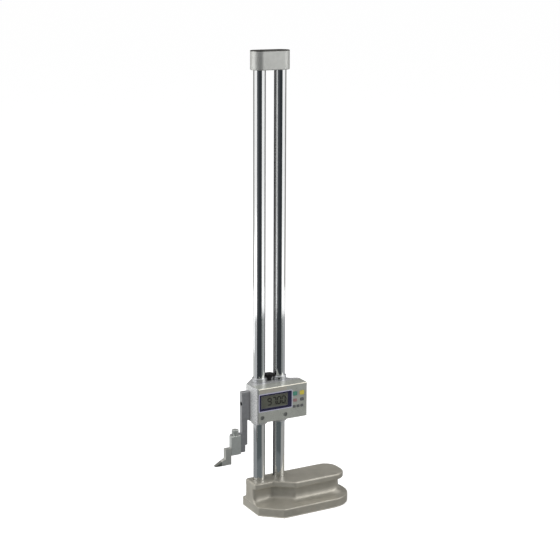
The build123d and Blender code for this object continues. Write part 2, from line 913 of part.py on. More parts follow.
with BuildPart() as wheel_screw:
    screw_seat = wheel_rear - wheel_dish_depth
    add(shaft_run(screw_seat, screw_seat + wheel_screw_head_height, wheel_screw_head, feed_z))
    add(shaft_run(screw_seat - wheel_screw_length + part_gap, screw_seat, wheel_screw_radius, feed_z))
    with BuildSketch(front_plane(screw_seat + wheel_screw_head_height)):
        with Locations((pinion_x, feed_z)):
            RegularPolygon(wheel_screw_head / 2, 6)
    extrude(amount=wheel_screw_head_height / 2, mode=Mode.SUBTRACT)
finish(wheel_screw.part, "wheel_screw")

# ----------------------------------------------------------------------------
# Encoder: a second pinion on the same rack turns a slotted disc in a sensor
# ----------------------------------------------------------------------------
disc_rear = -cover_split - encoder_disc_gap
disc_front = disc_rear - encoder_disc_thickness

with BuildPart() as encoder_shaft:
    with BuildSketch(front_plane(pinion_half, pinion_x, encoder_z)):
        add(pinion_face())
    extrude(amount=pinion_width)
    add(shaft_run(disc_front - encoder_hub_width, pocket_floor + encoder_rear_journal - part_gap,
                  encoder_shaft_radius, encoder_z))
finish(encoder_shaft.part, "encoder_shaft")

with BuildPart() as encoder_disc:
    add(shaft_run(disc_front, disc_rear, encoder_disc_radius, encoder_z))
    add(shaft_run(disc_front - encoder_hub_width, disc_front, encoder_hub_radius, encoder_z))
    add(
        shaft_run(disc_front - encoder_hub_width, disc_rear, encoder_shaft_radius + seat_fit, encoder_z),
        mode=Mode.SUBTRACT,
    )
finish(encoder_disc.part, "encoder_disc")

with BuildPart() as encoder_bush:
    add(shaft_run(-cover_split, -bush_start, pocket_radius - seat_fit, encoder_z))
    add(
        shaft_run(-cover_split, -bush_start, encoder_shaft_radius + running_fit, encoder_z),
        mode=Mode.SUBTRACT,
    )
finish(encoder_bush.part, "encoder_bush")

sensor_bottom = encoder_z + encoder_disc_radius - sensor_reach
with BuildPart() as encoder_sensor:
    with BuildSketch(Plane.XY.offset(sensor_bottom)):
        with Locations((pinion_x, -cover_split - sensor_depth / 2)):
            Rectangle(sensor_width, sensor_depth)
    extrude(amount=sensor_height)
    # slot that the rim of the disc turns in
    with BuildSketch(Plane.XY.offset(sensor_bottom)):
        with Locations((pinion_x, (disc_front + disc_rear) / 2)):
            Rectangle(sensor_width, sensor_slot)
    extrude(amount=sensor_reach + sensor_slot / 2, mode=Mode.SUBTRACT)
finish(encoder_sensor.part, "encoder_sensor")

# ----------------------------------------------------------------------------
# Front cover: a moulded tray with the display, keys, battery tube and posts
# ----------------------------------------------------------------------------
cover_left = -housing_left + cheek_thickness + seam_gap
cover_width = housing_right - cover_left
cover_depth = cover_front - cover_split
cover_mid_x = (cover_left + housing_right) / 2
inner_front = -cover_front + cover_wall
board_front = inner_front + lcd_thickness
board_back = board_front + board_thickness
battery_y = -cover_front + battery_setback
battery_z = housing_top - battery_drop
battery_right = housing_right - battery_cap_depth
battery_left = battery_right - battery_length
bezel_mid = ((bezel_left + bezel_right) / 2, cover_bottom + bezel_bottom + bezel_height / 2)
bezel_size = (bezel_right - bezel_left, bezel_height)
window_mid = ((window_left + window_right) / 2, cover_bottom + window_bottom + window_height / 2)
window_size = (window_right - window_left, window_height)
screw_places = [
    (left_cover_screw_x, cover_bottom + cover_screw_rise),
    (right_cover_screw_x, cover_bottom + cover_screw_rise),
]
board_corners = [
    (board_left + post_inset, cover_bottom + low_post_rise),
    (board_left + post_inset, cover_bottom + high_post_rise),
    (board_right - post_inset, cover_bottom + high_post_rise),
    (board_post_x, cover_bottom + low_post_rise),
]
keys = {
    "zero_key": (left_key_x, upper_row, large_key),
    "hold_key": (right_key_x, upper_row, large_key),
    "preset_key": (left_key_x, middle_row, medium_key),
    "mode_key": (right_key_x, middle_row, medium_key),
    "minus_key": (right_key_x - 2 * lower_key_pitch, lower_row, small_key),
    "plus_key": (right_key_x - lower_key_pitch, lower_row, small_key),
    "power_key": (right_key_x, lower_row, small_key),
}
socket_mid_y = -cover_front + socket_setback

with BuildPart() as front_cover:
    with BuildSketch(Plane.XY.offset(cover_bottom)):
        with Locations((cover_mid_x, -(cover_front + cover_split) / 2)):
            Rectangle(cover_width, cover_depth)
    extrude(amount=cover_height)
    front_edges = front_cover.edges().filter_by(Axis.Z).group_by(Axis.Y)[0]
    fillet(front_edges.sort_by(Axis.X)[-1], radius=cover_corner)
    fillet(front_cover.faces().sort_by(Axis.Y)[0].edges(), radius=cover_edge)
    with BuildSketch(Plane.XY.offset(cover_bottom + cover_wall)):
        with Locations((cover_mid_x, -(cover_front - cover_wall + cover_split) / 2)):
            Rectangle(cover_width - 2 * cover_wall, cover_depth - cover_wall)
    extrude(amount=cover_height - 2 * cover_wall, mode=Mode.SUBTRACT)
    # battery tube across the right end
    with BuildSketch(Plane.YZ.offset(battery_left - battery_wall)):
        with Locations((battery_y, (battery_z + housing_top - cover_wall) / 2 - battery_radius / 2)):
            Rectangle(
                2 * (battery_radius + battery_gap + battery_wall),
                housing_top - cover_wall - battery_z + battery_radius + battery_wall,
            )
    extrude(amount=housing_right - cover_wall - battery_left + battery_wall)
    with BuildSketch(Plane.YZ.offset(battery_left)):
        with Locations((battery_y, battery_z)):
            Circle(battery_radius + battery_gap)
    extrude(amount=housing_right - battery_left, mode=Mode.SUBTRACT)
    with BuildSketch(Plane.YZ.offset(housing_right)):
        with Locations((battery_y, battery_z)):
            Circle(battery_cap_radius + seat_fit)
    extrude(amount=-battery_cap_head, mode=Mode.SUBTRACT)
    # posts for the circuit board and for the two cover screws
    with BuildSketch(front_plane(inner_front)):
        with Locations(*board_corners):
            Circle(post_radius)
    extrude(amount=inner_front - board_front)
    with BuildSketch(front_plane(inner_front)):
        with Locations(*screw_places):
            Circle(cover_post_radius)
    extrude(amount=inner_front + cover_split)
    with BuildSketch(front_plane(board_front)):
        with Locations(*board_corners):
            Circle(post_screw_radius)
    extrude(amount=lcd_thickness, mode=Mode.SUBTRACT)
    with BuildSketch(front_plane(-cover_split)):
        with Locations(*screw_places):
            Circle(cover_screw_radius + part_gap / 2)
    extrude(amount=cover_depth, mode=Mode.SUBTRACT)
    with BuildSketch(front_plane(-cover_front)):
        with Locations(*screw_places):
            Circle(cover_screw_recess)
    extrude(amount=-cover_screw_sink - cover_screw_head_height, mode=Mode.SUBTRACT)
    # recess and opening of the display
    with BuildSketch(front_plane(-cover_front)):
        with Locations(bezel_mid):
            RectangleRounded(bezel_size[0] + 2 * seat_fit, bezel_size[1] + 2 * seat_fit, bezel_corner)
    extrude(amount=-bezel_recess, mode=Mode.SUBTRACT)
    with BuildSketch(front_plane(-cover_front)):
        with Locations(window_mid):
            Rectangle(window_size[0] - 2 * window_ledge, window_size[1] - 2 * window_ledge)
    extrude(amount=-cover_wall, mode=Mode.SUBTRACT)
    # key holes
    for x, rise, (width, height) in keys.values():
        with BuildSketch(front_plane(-cover_front)):
            with Locations((x, cover_bottom + rise)):
                RectangleRounded(width + 2 * key_gap, height + 2 * key_gap, key_corner + key_gap)
        extrude(amount=-cover_wall, mode=Mode.SUBTRACT)
    # opening of the data socket in the underside
    with BuildSketch(Plane.XY.offset(cover_bottom)):
        with Locations((socket_x, socket_mid_y)):
            RectangleRounded(socket_width, socket_depth, key_corner)
    extrude(amount=cover_wall, mode=Mode.SUBTRACT)
finish(front_cover.part, "front_cover")

with BuildPart() as display_bezel:
    with BuildSketch(front_plane(-cover_front + bezel_recess)):
        with Locations(bezel_mid):
            RectangleRounded(*bezel_size, bezel_corner)
        with Locations(window_mid):
            Rectangle(window_size[0] + 2 * seat_fit, window_size[1] + 2 * seat_fit, mode=Mode.SUBTRACT)
    extrude(amount=bezel_thickness)
finish(display_bezel.part, "display_bezel")

with BuildPart() as display_window:
    with BuildSketch(front_plane(-cover_front + bezel_recess)):
        with Locations(window_mid):
            Rectangle(*window_size)
    extrude(amount=window_thickness)
finish(display_window.part, "display_window")

with BuildPart() as lcd_panel:
    with BuildSketch(front_plane(board_front)):
        with Locations(window_mid):
            Rectangle(window_size[0] + 2 * lcd_margin, window_size[1] + 2 * lcd_margin)
    extrude(amount=lcd_thickness)
finish(lcd_panel.part, "lcd_panel")

with BuildPart() as circuit_board:
    with BuildSketch(front_plane(board_back)):
        with Locations(((board_left + board_right) / 2, cover_bottom + board_bottom + board_height / 2)):
            Rectangle(board_right - board_left, board_height)
        with Locations(*board_corners):
            Circle(post_screw_radius + seat_fit, mode=Mode.SUBTRACT)
    extrude(amount=board_thickness)
finish(circuit_board.part, "circuit_board")

with BuildPart() as key_switches:
    with BuildSketch(front_plane(board_front)):
        with Locations(*[(x, cover_bottom + rise) for x, rise, size in keys.values()]):
            Circle(switch_radius)
    extrude(amount=switch_height)
finish(key_switches.part, "key_switches")

with BuildPart() as board_screws:
    with BuildSketch(front_plane(board_back)):
        with Locations(*board_corners):
            Circle(post_screw_head_radius)
    extrude(amount=-post_screw_head_height)
    with BuildSketch(front_plane(board_back)):
        with Locations(*board_corners):
            Circle(post_screw_radius - seat_fit)
    extrude(amount=min(post_screw_length, board_thickness + lcd_thickness))
finish(board_screws.part, "board_screws")


def key(name, x, rise, size):
    """One key: a domed cap through the cover, held in by a flange behind it."""
    flange_front = inner_front + key_flange_gap
    place = (x, cover_bottom + rise)
    with BuildPart() as cap:
        with BuildSketch(front_plane(flange_front)):
            with Locations(place):
                RectangleRounded(size[0], size[1], key_corner)
        extrude(amount=cover_front + flange_front + key_proud)
        fillet(cap.faces().sort_by(Axis.Y)[0].edges(), radius=key_edge)
        with BuildSketch(front_plane(flange_front)):
            with Locations(place):
                Rectangle(size[0] + 2 * key_flange, size[1] + 2 * key_flange)
        extrude(amount=-key_flange_thickness)
    finish(cap.part, name)


for key_name, (key_x, key_rise, key_size) in keys.items():
    key(key_name, key_x, key_rise, key_size)

with BuildPart() as battery:
    with BuildSketch(Plane.YZ.offset(battery_left)):
        with Locations((battery_y, battery_z)):
            Circle(battery_radius)
    extrude(amount=battery_length)
finish(battery.part, "battery")

with BuildPart() as battery_cap:
    with BuildSketch(Plane.YZ.offset(housing_right - battery_cap_head)):
        with Locations((battery_y, battery_z)):
            Circle(battery_cap_radius)
    extrude(amount=battery_cap_head)
    with BuildSketch(Plane.YZ.offset(battery_right)):
        with Locations((battery_y, battery_z)):
            Circle(battery_radius)
    extrude(amount=battery_cap_depth - battery_cap_head)
    # coin slot
    with BuildSketch(Plane.YZ.offset(housing_right)):
        with Locations((battery_y, battery_z)):
            SlotOverall(1.5 * battery_cap_radius, battery_slot_width, rotation=90)
    extrude(amount=-battery_slot_depth, mode=Mode.SUBTRACT)
finish(battery_cap.part, "battery_cap")

with BuildPart() as cover_screws:
    head_front = -cover_front + cover_screw_sink
    head_back = head_front + cover_screw_head_height
    with BuildSketch(front_plane(head_back)):
        with Locations(*screw_places):
            Circle(cover_screw_head)
    extrude(amount=cover_screw_head_height)
    chamfer(cover_screws.faces().sort_by(Axis.Y)[0:2].edges(), length=cover_screw_head_height / 2)
    with BuildSketch(front_plane(head_back)):
        with Locations(*screw_places):
            Circle(cover_screw_radius)
    extrude(amount=head_back + cover_split - cover_screw_grip)
    with BuildSketch(front_plane(head_front)):
        with Locations(*screw_places):
            Rectangle(cross_length, cross_width)
            Rectangle(cross_width, cross_length)
    extrude(amount=-cross_depth, mode=Mode.SUBTRACT)
finish(cover_screws.part, "cover_screws")

with BuildPart() as data_socket:
    with BuildSketch(Plane.XY.offset(cover_bottom + cover_wall)):
        with Locations((socket_x, socket_mid_y)):
            Rectangle(socket_width + 2 * cover_wall, socket_depth + cover_wall)
    extrude(amount=socket_body_height)
finish(data_socket.part, "data_socket")

with BuildPart() as socket_cover:
    with BuildSketch(Plane.XY.offset(cover_bottom + socket_cover_sink)):
        with Locations((socket_x, socket_mid_y)):
            RectangleRounded(socket_width - 2 * seat_fit, socket_depth - 2 * seat_fit, key_corner)
    extrude(amount=cover_wall - socket_cover_sink)
finish(socket_cover.part, "socket_cover")

# ----------------------------------------------------------------------------
# Arm, scriber clamp and scriber
# ----------------------------------------------------------------------------
arm_back = -arm_front + arm_depth
arm_top = housing_top - arm_top_drop
arm_mid_y = -arm_front + arm_depth / 2
clamp_screw_places = [
    (-clamp_inner - clamp_screw_inset, scriber_rest + height) for height in clamp_screw_heights
]
jaw_top = scriber_rest + jaw_foot + jaw_height

with BuildPart() as scriber_arm:
    with BuildSketch(front_plane(arm_back)):
        with BuildLine():
            Polyline(
                (-housing_left, arm_top),
                (-arm_outer, arm_top),
                (-arm_outer, jaw_top),
                (-clamp_inner - jaw_reach, jaw_top),
                (-clamp_inner - jaw_reach, scriber_rest + jaw_foot),
                (-jaw_inner, scriber_rest + jaw_foot),
                (-jaw_inner, scriber_rest + arm_foot),
                (-arm_inner, scriber_rest + arm_foot),
                (-arm_inner, scriber_rest + arm_pad_foot),
                (-housing_left, scriber_rest + arm_pad_foot),
                close=True,
            )
        make_face()
    extrude(amount=arm_depth)
    chamfer(scriber_arm.faces().sort_by(Axis.Y)[0].edges(), length=arm_edge)
    with BuildSketch(Plane.YZ.offset(-arm_outer)):
        with Locations((arm_mid_y, scriber_rest + arm_screw_height)):
            Circle(arm_screw_head + part_gap / 2)
    extrude(amount=arm_screw_sink, mode=Mode.SUBTRACT)
    with BuildSketch(Plane.YZ.offset(-arm_outer)):
        with Locations((arm_mid_y, scriber_rest + arm_screw_height)):
            Circle(arm_screw_radius + part_gap / 2)
    extrude(amount=arm_outer - housing_left, mode=Mode.SUBTRACT)
    with BuildSketch(front_plane(arm_back)):
        with Locations(*clamp_screw_places):
            Circle(clamp_screw_radius + part_gap / 2)
    extrude(amount=arm_depth, mode=Mode.SUBTRACT)
    with BuildSketch(front_plane(arm_back)):
        with Locations(*clamp_screw_places):
            Circle(clamp_screw_head + part_gap / 2)
    extrude(amount=clamp_screw_head_height, mode=Mode.SUBTRACT)
finish(scriber_arm.part, "scriber_arm")

with BuildPart() as arm_screw:
    arm_screw_seat = -arm_outer + arm_screw_sink
    with BuildSketch(Plane.YZ.offset(arm_screw_seat)):
        with Locations((arm_mid_y, scriber_rest + arm_screw_height)):
            Circle(arm_screw_head)
    extrude(amount=-arm_screw_head_height)
    with BuildSketch(Plane.YZ.offset(arm_screw_seat)):
        with Locations((arm_mid_y, scriber_rest + arm_screw_height)):
            Circle(arm_screw_radius)
    extrude(amount=-housing_left - arm_screw_seat + arm_screw_grip)
    with BuildSketch(Plane.YZ.offset(arm_screw_seat - arm_screw_head_height)):
        with Locations((arm_mid_y, scriber_rest + arm_screw_height)):
            RegularPolygon(arm_screw_radius, 6)
    extrude(amount=arm_screw_head_height / 2, mode=Mode.SUBTRACT)
finish(arm_screw.part, "arm_screw")

clamp_mid_y = -(clamp_front + clamp_back) / 2
clamp_bottom = scriber_rest + clamp_foot
clamp_top = clamp_bottom + clamp_height
shank_low = scriber_rest + shank_bottom
shank_top = shank_low + shank_height

with BuildPart() as scriber_clamp:
    with BuildSketch(Plane.XY.offset(clamp_bottom)):
        with Locations((clamp_mid_x, clamp_mid_y)):
            Rectangle(clamp_outer - clamp_inner, clamp_front - clamp_back)
    extrude(amount=clamp_height)
    chamfer(scriber_clamp.edges(), length=clamp_edge)
    # window for the scriber's shank
    with BuildSketch(Plane.YZ.offset(-clamp_outer)):
        with Locations((clamp_mid_y, (shank_low + shank_top) / 2)):
            Rectangle(shank_depth + 2 * shank_gap, shank_height + 2 * shank_gap)
    extrude(amount=clamp_outer - clamp_inner, mode=Mode.SUBTRACT)
    # hole of the thumb screw, and those of the screws from the arm's jaw
    with BuildSketch(Plane.XY.offset(clamp_top)):
        with Locations((clamp_mid_x, clamp_mid_y)):
            Circle(thumb_screw_radius + running_fit)
    extrude(amount=shank_top - clamp_top, mode=Mode.SUBTRACT)
    with BuildSketch(front_plane(-clamp_back)):
        with Locations(*clamp_screw_places):
            Circle(clamp_screw_radius + seat_fit)
    extrude(amount=clamp_screw_grip, mode=Mode.SUBTRACT)
finish(scriber_clamp.part, "scriber_clamp")

with BuildPart() as clamp_screws:
    clamp_screw_seat = arm_back - clamp_screw_head_height
    with BuildSketch(front_plane(clamp_screw_seat)):
        with Locations(*clamp_screw_places):
            Circle(clamp_screw_head)
    extrude(amount=-clamp_screw_head_height + part_gap)
    with BuildSketch(front_plane(clamp_screw_seat)):
        with Locations(*clamp_screw_places):
            Circle(clamp_screw_radius)
    extrude(amount=clamp_screw_seat + clamp_back + clamp_screw_grip - part_gap)
finish(clamp_screws.part, "clamp_screws")

thumb_bottom = clamp_top + thumb_neck_height

with BuildPart() as thumb_head:
    with BuildSketch():
        add(fluted_disc((0, 0), 0, thumb_height, thumb_radius, thumb_flutes, thumb_flute_radius))
    extrude(amount=thumb_height)
    chamfer(thumb_head.faces().sort_by(Axis.Z)[-1].edges(), length=thumb_edge)

with BuildPart() as thumb_screw:
    add(thumb_head.part.moved(Location((clamp_mid_x, clamp_mid_y, thumb_bottom))))
    with BuildSketch(Plane.XY.offset(clamp_top + part_gap / 3)):
        with Locations((clamp_mid_x, clamp_mid_y)):
            Circle(thumb_neck_radius)
    extrude(amount=thumb_neck_height)
    with BuildSketch(Plane.XY.offset(clamp_top + part_gap)):
        with Locations((clamp_mid_x, clamp_mid_y)):
            Circle(thumb_screw_radius)
    extrude(amount=shank_top + shank_gap - clamp_top - part_gap)
finish(thumb_screw.part, "thumb_screw")

scriber_inner = -clamp_outer - scriber_gap
scriber_outer = scriber_inner - scriber_width
scriber_top = scriber_rest + scriber_height
foot_shoulder_x = scriber_outer - foot_shoulder_reach
scriber_tip_x = scriber_outer - scriber_tip_reach
tip_start = scriber_tip_x + tip_length
tip_slope = (foot_shoulder_height - scriber_tip_height) / (foot_shoulder_x - scriber_tip_x)
tip_start_height = scriber_tip_height + tip_slope * tip_length

with BuildPart() as scriber:
    with BuildSketch(front_plane(clamp_mid_y + scriber_depth / 2)):
        with BuildLine():
            Polyline(
                (scriber_inner, scriber_rest),
                (scriber_inner, scriber_top),
                (scriber_outer, scriber_top),
                (scriber_outer, scriber_rest + foot_shoulder_height + 1.6),
                (foot_shoulder_x, scriber_rest + foot_shoulder_height),
                (tip_start, scriber_rest + tip_start_height),
                (tip_start, scriber_rest),
                close=True,
            )
        make_face()
    extrude(amount=scriber_depth)
    with BuildSketch(Plane.YZ.offset(scriber_inner)):
        with Locations((clamp_mid_y, (shank_low + shank_top) / 2)):
            Rectangle(shank_depth, shank_height)
    extrude(amount=-clamp_inner - shank_end_gap - scriber_inner)
finish(scriber.part, "scriber")

# Carbide tip: a wedge that narrows to a chisel edge
with BuildPart() as scriber_tip:
    with BuildSketch(front_plane(clamp_mid_y + scriber_depth / 2)):
        with BuildLine():
            Polyline(
                (tip_start, scriber_rest),
                (tip_start, scriber_rest + tip_start_height),
                (scriber_tip_x, scriber_rest + scriber_tip_height),
                (scriber_tip_x, scriber_rest),
                close=True,
            )
        make_face()
    extrude(amount=scriber_depth)
    with BuildSketch(Plane.XY.offset(scriber_rest)):
        with BuildLine():
            Polyline(
                (tip_start, clamp_mid_y - scriber_depth / 2),
                (tip_start, clamp_mid_y + scriber_depth / 2),
                (scriber_tip_x, clamp_mid_y + scriber_depth * tip_depth_share / 2),
                (scriber_tip_x, clamp_mid_y - scriber_depth * tip_depth_share / 2),
                close=True,
            )
        make_face()
    extrude(amount=tip_start_height, mode=Mode.INTERSECT)
finish(scriber_tip.part, "scriber_tip")
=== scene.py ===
# %% [markdown]
# # A digital height gauge
# The gauge stands on its cast base. Two chromed columns carry a slider with a display, keys and a
# scriber. The engineering model is loaded as a fixed frame, and this lesson gives it its
# finishes, its small surface details, a plain studio and a camera.

# %% Load the frame
import math

import bmesh
import bpy
from mathutils import Matrix, Vector


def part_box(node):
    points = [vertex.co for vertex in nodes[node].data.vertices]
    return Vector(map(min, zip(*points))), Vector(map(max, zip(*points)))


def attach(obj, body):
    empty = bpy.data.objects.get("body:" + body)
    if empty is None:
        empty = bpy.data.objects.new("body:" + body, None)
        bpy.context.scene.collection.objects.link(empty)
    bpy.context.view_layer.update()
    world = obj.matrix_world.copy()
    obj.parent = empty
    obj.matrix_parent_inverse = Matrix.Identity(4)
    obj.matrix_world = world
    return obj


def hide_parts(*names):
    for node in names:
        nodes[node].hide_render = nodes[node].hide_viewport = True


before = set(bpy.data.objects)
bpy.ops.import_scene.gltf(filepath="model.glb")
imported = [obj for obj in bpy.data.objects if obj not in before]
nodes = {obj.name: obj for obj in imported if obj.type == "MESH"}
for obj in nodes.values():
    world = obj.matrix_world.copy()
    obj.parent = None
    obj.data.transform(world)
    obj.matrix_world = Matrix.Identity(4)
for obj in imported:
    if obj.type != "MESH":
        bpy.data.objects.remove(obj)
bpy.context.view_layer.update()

scene = bpy.context.scene
MM = 0.001

# %% [markdown]
# ## The camera
# A long lens above the gauge's top looks down at it from its front left. The camera's own axes
# are built from a turn, a pitch and a very small roll, so each can be read and changed by itself.

# %% Place the camera
TURN = math.radians(28.85)
PITCH = math.radians(13.288)
ROLL = math.radians(0.252)
CAMERA_PLACE = Vector((-1.028489, -1.903114, 0.907221))
IMAGE_SIZE = 560
FOCAL_PIXELS = 1349.026
SENSOR = 36.0
SIGHT_RANGE = 60.0

forward = Vector((
    math.sin(TURN) * math.cos(PITCH), math.cos(TURN) * math.cos(PITCH), -math.sin(PITCH)))
level_right = Vector((math.cos(TURN), -math.sin(TURN), 0.0))
level_up = level_right.cross(forward)
image_right = math.cos(ROLL) * level_right + math.sin(ROLL) * level_up
image_up = -math.sin(ROLL) * level_right + math.cos(ROLL) * level_up

camera_data = bpy.data.cameras.new("camera")
camera_data.sensor_width = SENSOR
camera_data.lens = SENSOR * FOCAL_PIXELS / IMAGE_SIZE
camera_data.clip_end = SIGHT_RANGE
camera = bpy.data.objects.new("camera", camera_data)
scene.collection.objects.link(camera)
camera.matrix_world = Matrix((
    (image_right.x, image_up.x, -forward.x, CAMERA_PLACE.x),
    (image_right.y, image_up.y, -forward.y, CAMERA_PLACE.y),
    (image_right.z, image_up.z, -forward.z, CAMERA_PLACE.z),
    (0.0, 0.0, 0.0, 1.0),
))
scene.camera = camera
print("lens:", round(camera_data.lens, 2), "mm")

# %% [markdown]
# ## Colours and nodes
# Colours are picked as sRGB hex values, as a painter's chart gives them. Blender's shaders work
# in linear light, so one function turns them. A second adds a node with its settings and its
# links in one call. A noise mostly stays between 0.3 and 0.7, so ramps stretch that part of it to
# their full range.

# %% Colour and node helpers
NOISE_LOW, NOISE_HIGH = 0.3, 0.7
MIX_BELOW, MIX_ABOVE, MIX_RESULT = 6, 7, 2


def linear(code):
    """Linear opaque colour of an sRGB hex value such as 8f9288."""
    channels = [int(code[i:i + 2], 16) / 255 for i in (0, 2, 4)]
    return tuple(
        c / 12.92 if c <= 0.04045 else ((c + 0.055) / 1.055) ** 2.4 for c in channels) + (1.0,)


def node(tree, kind, links=None, **settings):
    """Adds a node. links maps an input to a value or to another node's output."""
    made = tree.nodes.new(kind)
    for name, value in settings.items():
        setattr(made, name, value)
    for name, value in (links or {}).items():
        if isinstance(value, bpy.types.NodeSocket):
            tree.links.new(value, made.inputs[name])
        else:
            made.inputs[name].default_value = value
    return made


def new_material(name):
    """An empty material with its tree, its output and its principled shader."""
    material = bpy.data.materials.new(name)
    material.use_nodes = True
    tree = material.node_tree
    tree.nodes.clear()
    shader = node(tree, "ShaderNodeBsdfPrincipled")
    node(tree, "ShaderNodeOutputMaterial", {"Surface": shader.outputs["BSDF"]})
    return material, tree, shader


def pattern_scale(size_mm):
    """Noise scale, in features per metre, of a grain of this size."""
    return 1.0 / (size_mm * MM)


def grain(tree, size_mm, detail, stretch=(1.0, 1.0, 1.0)):
    """Noise over the object's own coordinates, with features of about size_mm."""
    place = node(tree, "ShaderNodeTexCoord")
    turned = node(tree, "ShaderNodeMapping", {
        "Vector": place.outputs["Object"], "Scale": stretch})
    return node(tree, "ShaderNodeTexNoise", {
        "Vector": turned.outputs["Vector"], "Scale": pattern_scale(size_mm), "Detail": detail})


def tint(tree, source, dark, light):
    """Colour ramp between two hex colours, driven by a noise."""
    ramp = node(tree, "ShaderNodeValToRGB", {"Fac": source})
    ramp.color_ramp.elements[0].position = NOISE_LOW
    ramp.color_ramp.elements[0].color = linear(dark)
    ramp.color_ramp.elements[1].position = NOISE_HIGH
    ramp.color_ramp.elements[1].color = linear(light)
    return ramp


def spread(tree, source, low, high):
    """Maps a noise to a range of values."""
    return node(tree, "ShaderNodeMapRange", {
        "Value": source, "From Min": NOISE_LOW, "From Max": NOISE_HIGH,
        "To Min": low, "To Max": high})


def relief(tree, shader, source, depth_mm):
    """Bump of a real depth on a shader."""
    bump = node(tree, "ShaderNodeBump", {
        "Height": source, "Strength": 1.0, "Distance": depth_mm * MM})
    tree.links.new(bump.outputs["Normal"], shader.inputs["Normal"])


def principled(material):
    """The principled shader of a material."""
    return next(item for item in material.node_tree.nodes if item.type == "BSDF_PRINCIPLED")


def object_axes(tree):
    """Outputs with the object's own X, Y and Z."""
    place = node(tree, "ShaderNodeTexCoord")
    return node(tree, "ShaderNodeSeparateXYZ", {"Vector": place.outputs["Object"]}).outputs


def paint_over(material, mask, code):
    """Lays a hex colour over a material's own colour where the mask is 1."""
    tree, shader = material.node_tree, principled(material)
    mix = node(tree, "ShaderNodeMix", {"Factor": mask}, data_type="RGBA")
    tree.links.new(shader.inputs["Base Color"].links[0].from_socket, mix.inputs[MIX_BELOW])
    mix.inputs[MIX_ABOVE].default_value = linear(code)
    tree.links.new(mix.outputs[MIX_RESULT], shader.inputs["Base Color"])


def finish_of(name, dark, light, metallic, roughness, grain_mm, rough_mm=None, depth_mm=0.0,
              stretch=(1.0, 1.0, 1.0), ior=None):
    """A finish with a slight colour change, a change of gloss and a fine relief."""
    material, tree, shader = new_material(name)
    shader.inputs["Metallic"].default_value = metallic
    if ior:
        shader.inputs["IOR"].default_value = ior
    colour = tint(tree, grain(tree, grain_mm, 4.0, stretch).outputs["Fac"], dark, light)
    tree.links.new(colour.outputs["Color"], shader.inputs["Base Color"])
    gloss_noise = grain(tree, rough_mm or grain_mm / 2, 3.0, stretch)
    gloss = spread(tree, gloss_noise.outputs["Fac"], roughness[0], roughness[1])
    tree.links.new(gloss.outputs["Result"], shader.inputs["Roughness"])
    if depth_mm:
        fine = grain(tree, rough_mm or grain_mm / 2, 2.0, stretch)
        relief(tree, shader, fine.outputs["Fac"], depth_mm)
    return material


def dress(finish, *names):
    """Gives a finish to nodes of the frame."""
    for name in names:
        for material_slot in nodes[name].material_slots:
            material_slot.material = finish


# %% [markdown]
# ## The base
# The base is grey iron, cast in sand and coated with a warm grey metallic enamel. The coat
# follows the skin of the casting, so it has a soft orange peel a few millimetres wide. A cast
# part has no sharp corners: the pattern is rounded wherever sand would break away. One way to get
# this is to bevel each edge, but on a form where curves meet flats, bevels collide. Here a merged
# copy of the machined form is wrapped in an even skin of small faces. Points of the skin are
# moved to hollow the cove and to fill out the machined fillet on the flange's edge, and then the
# skin is relaxed. A vertex group says how far each place may relax: not at all at the ground foot
# and the seats of the columns, which are machined later and stay crisp, only little on the ledge
# and the rim of the plate, and fully in the cove and the waist.

# %% Finish of the base
base_enamel = finish_of("metallic_enamel_on_cast_iron", "a4a095", "b1ada2", 0.5, (0.30, 0.38), 18.0,
                        rough_mm=2.5, depth_mm=0.05)
dress(base_enamel, "base")

# %% Helpers for meshes


def pick(made):
    """Makes an object the only selected and active one."""
    bpy.ops.object.select_all(action="DESELECT")
    made.select_set(True)
    bpy.context.view_layer.objects.active = made


def merged_copy(name, new_name):
    """A copy of a node with its own mesh, whose loose triangles are joined."""
    copied = bpy.data.objects.new(new_name, nodes[name].data.copy())
    scene.collection.objects.link(copied)
    pick(copied)
    bpy.ops.object.mode_set(mode="EDIT")
    bpy.ops.mesh.select_all(action="SELECT")
    bpy.ops.mesh.remove_doubles(threshold=0.001 * MM)
    bpy.ops.object.mode_set(mode="OBJECT")
    return copied


def ramp_between(value, low, high):
    """0 below low, 1 above high and even between them."""
    return min(max((value - low) / (high - low), 0.0), 1.0)


# %% Levels and limits of the casting
SOFT_GROUP = "soft"
SKIN = 1.1 * MM
EVEN_PASSES = 2
CORNER_PASSES = 60
SEAT_CLEAR = 3.0 * MM
SEAT_DEPTH = 6.0 * MM
LEDGE = 15.4 * MM
FLANGE_FILLET = 3.2 * MM
WAIST_FOOT = 29.6 * MM
COVE_POWER = 2.4
SMALLEST_OUTWARD = 0.05
FOOT_RAMP = (0.6 * MM, 3.5 * MM)
COVE_RAMP = (16.5 * MM, 21.0 * MM)
PLATE_RAMP = (36.0 * MM, 42.0 * MM)
END_RAMP = (1.0 * MM, 7.0 * MM)
LEDGE_SOFTNESS = 0.12
PLATE_SOFTNESS = 0.2
END_SOFTNESS = 0.2

base_low, base_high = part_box("base")
column_boxes = [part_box("left_column"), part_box("right_column")]
column_radius = (column_boxes[0][1][0] - column_boxes[0][0][0]) / 2
column_axes = [((low[0] + high[0]) / 2, (low[1] + high[1]) / 2) for low, high in column_boxes]


def clear_of_seats(place):
    """Distance of a place from the walls of the nearer column seat."""
    return min(math.hypot(place.x - x, place.y - y) for x, y in column_axes) - column_radius


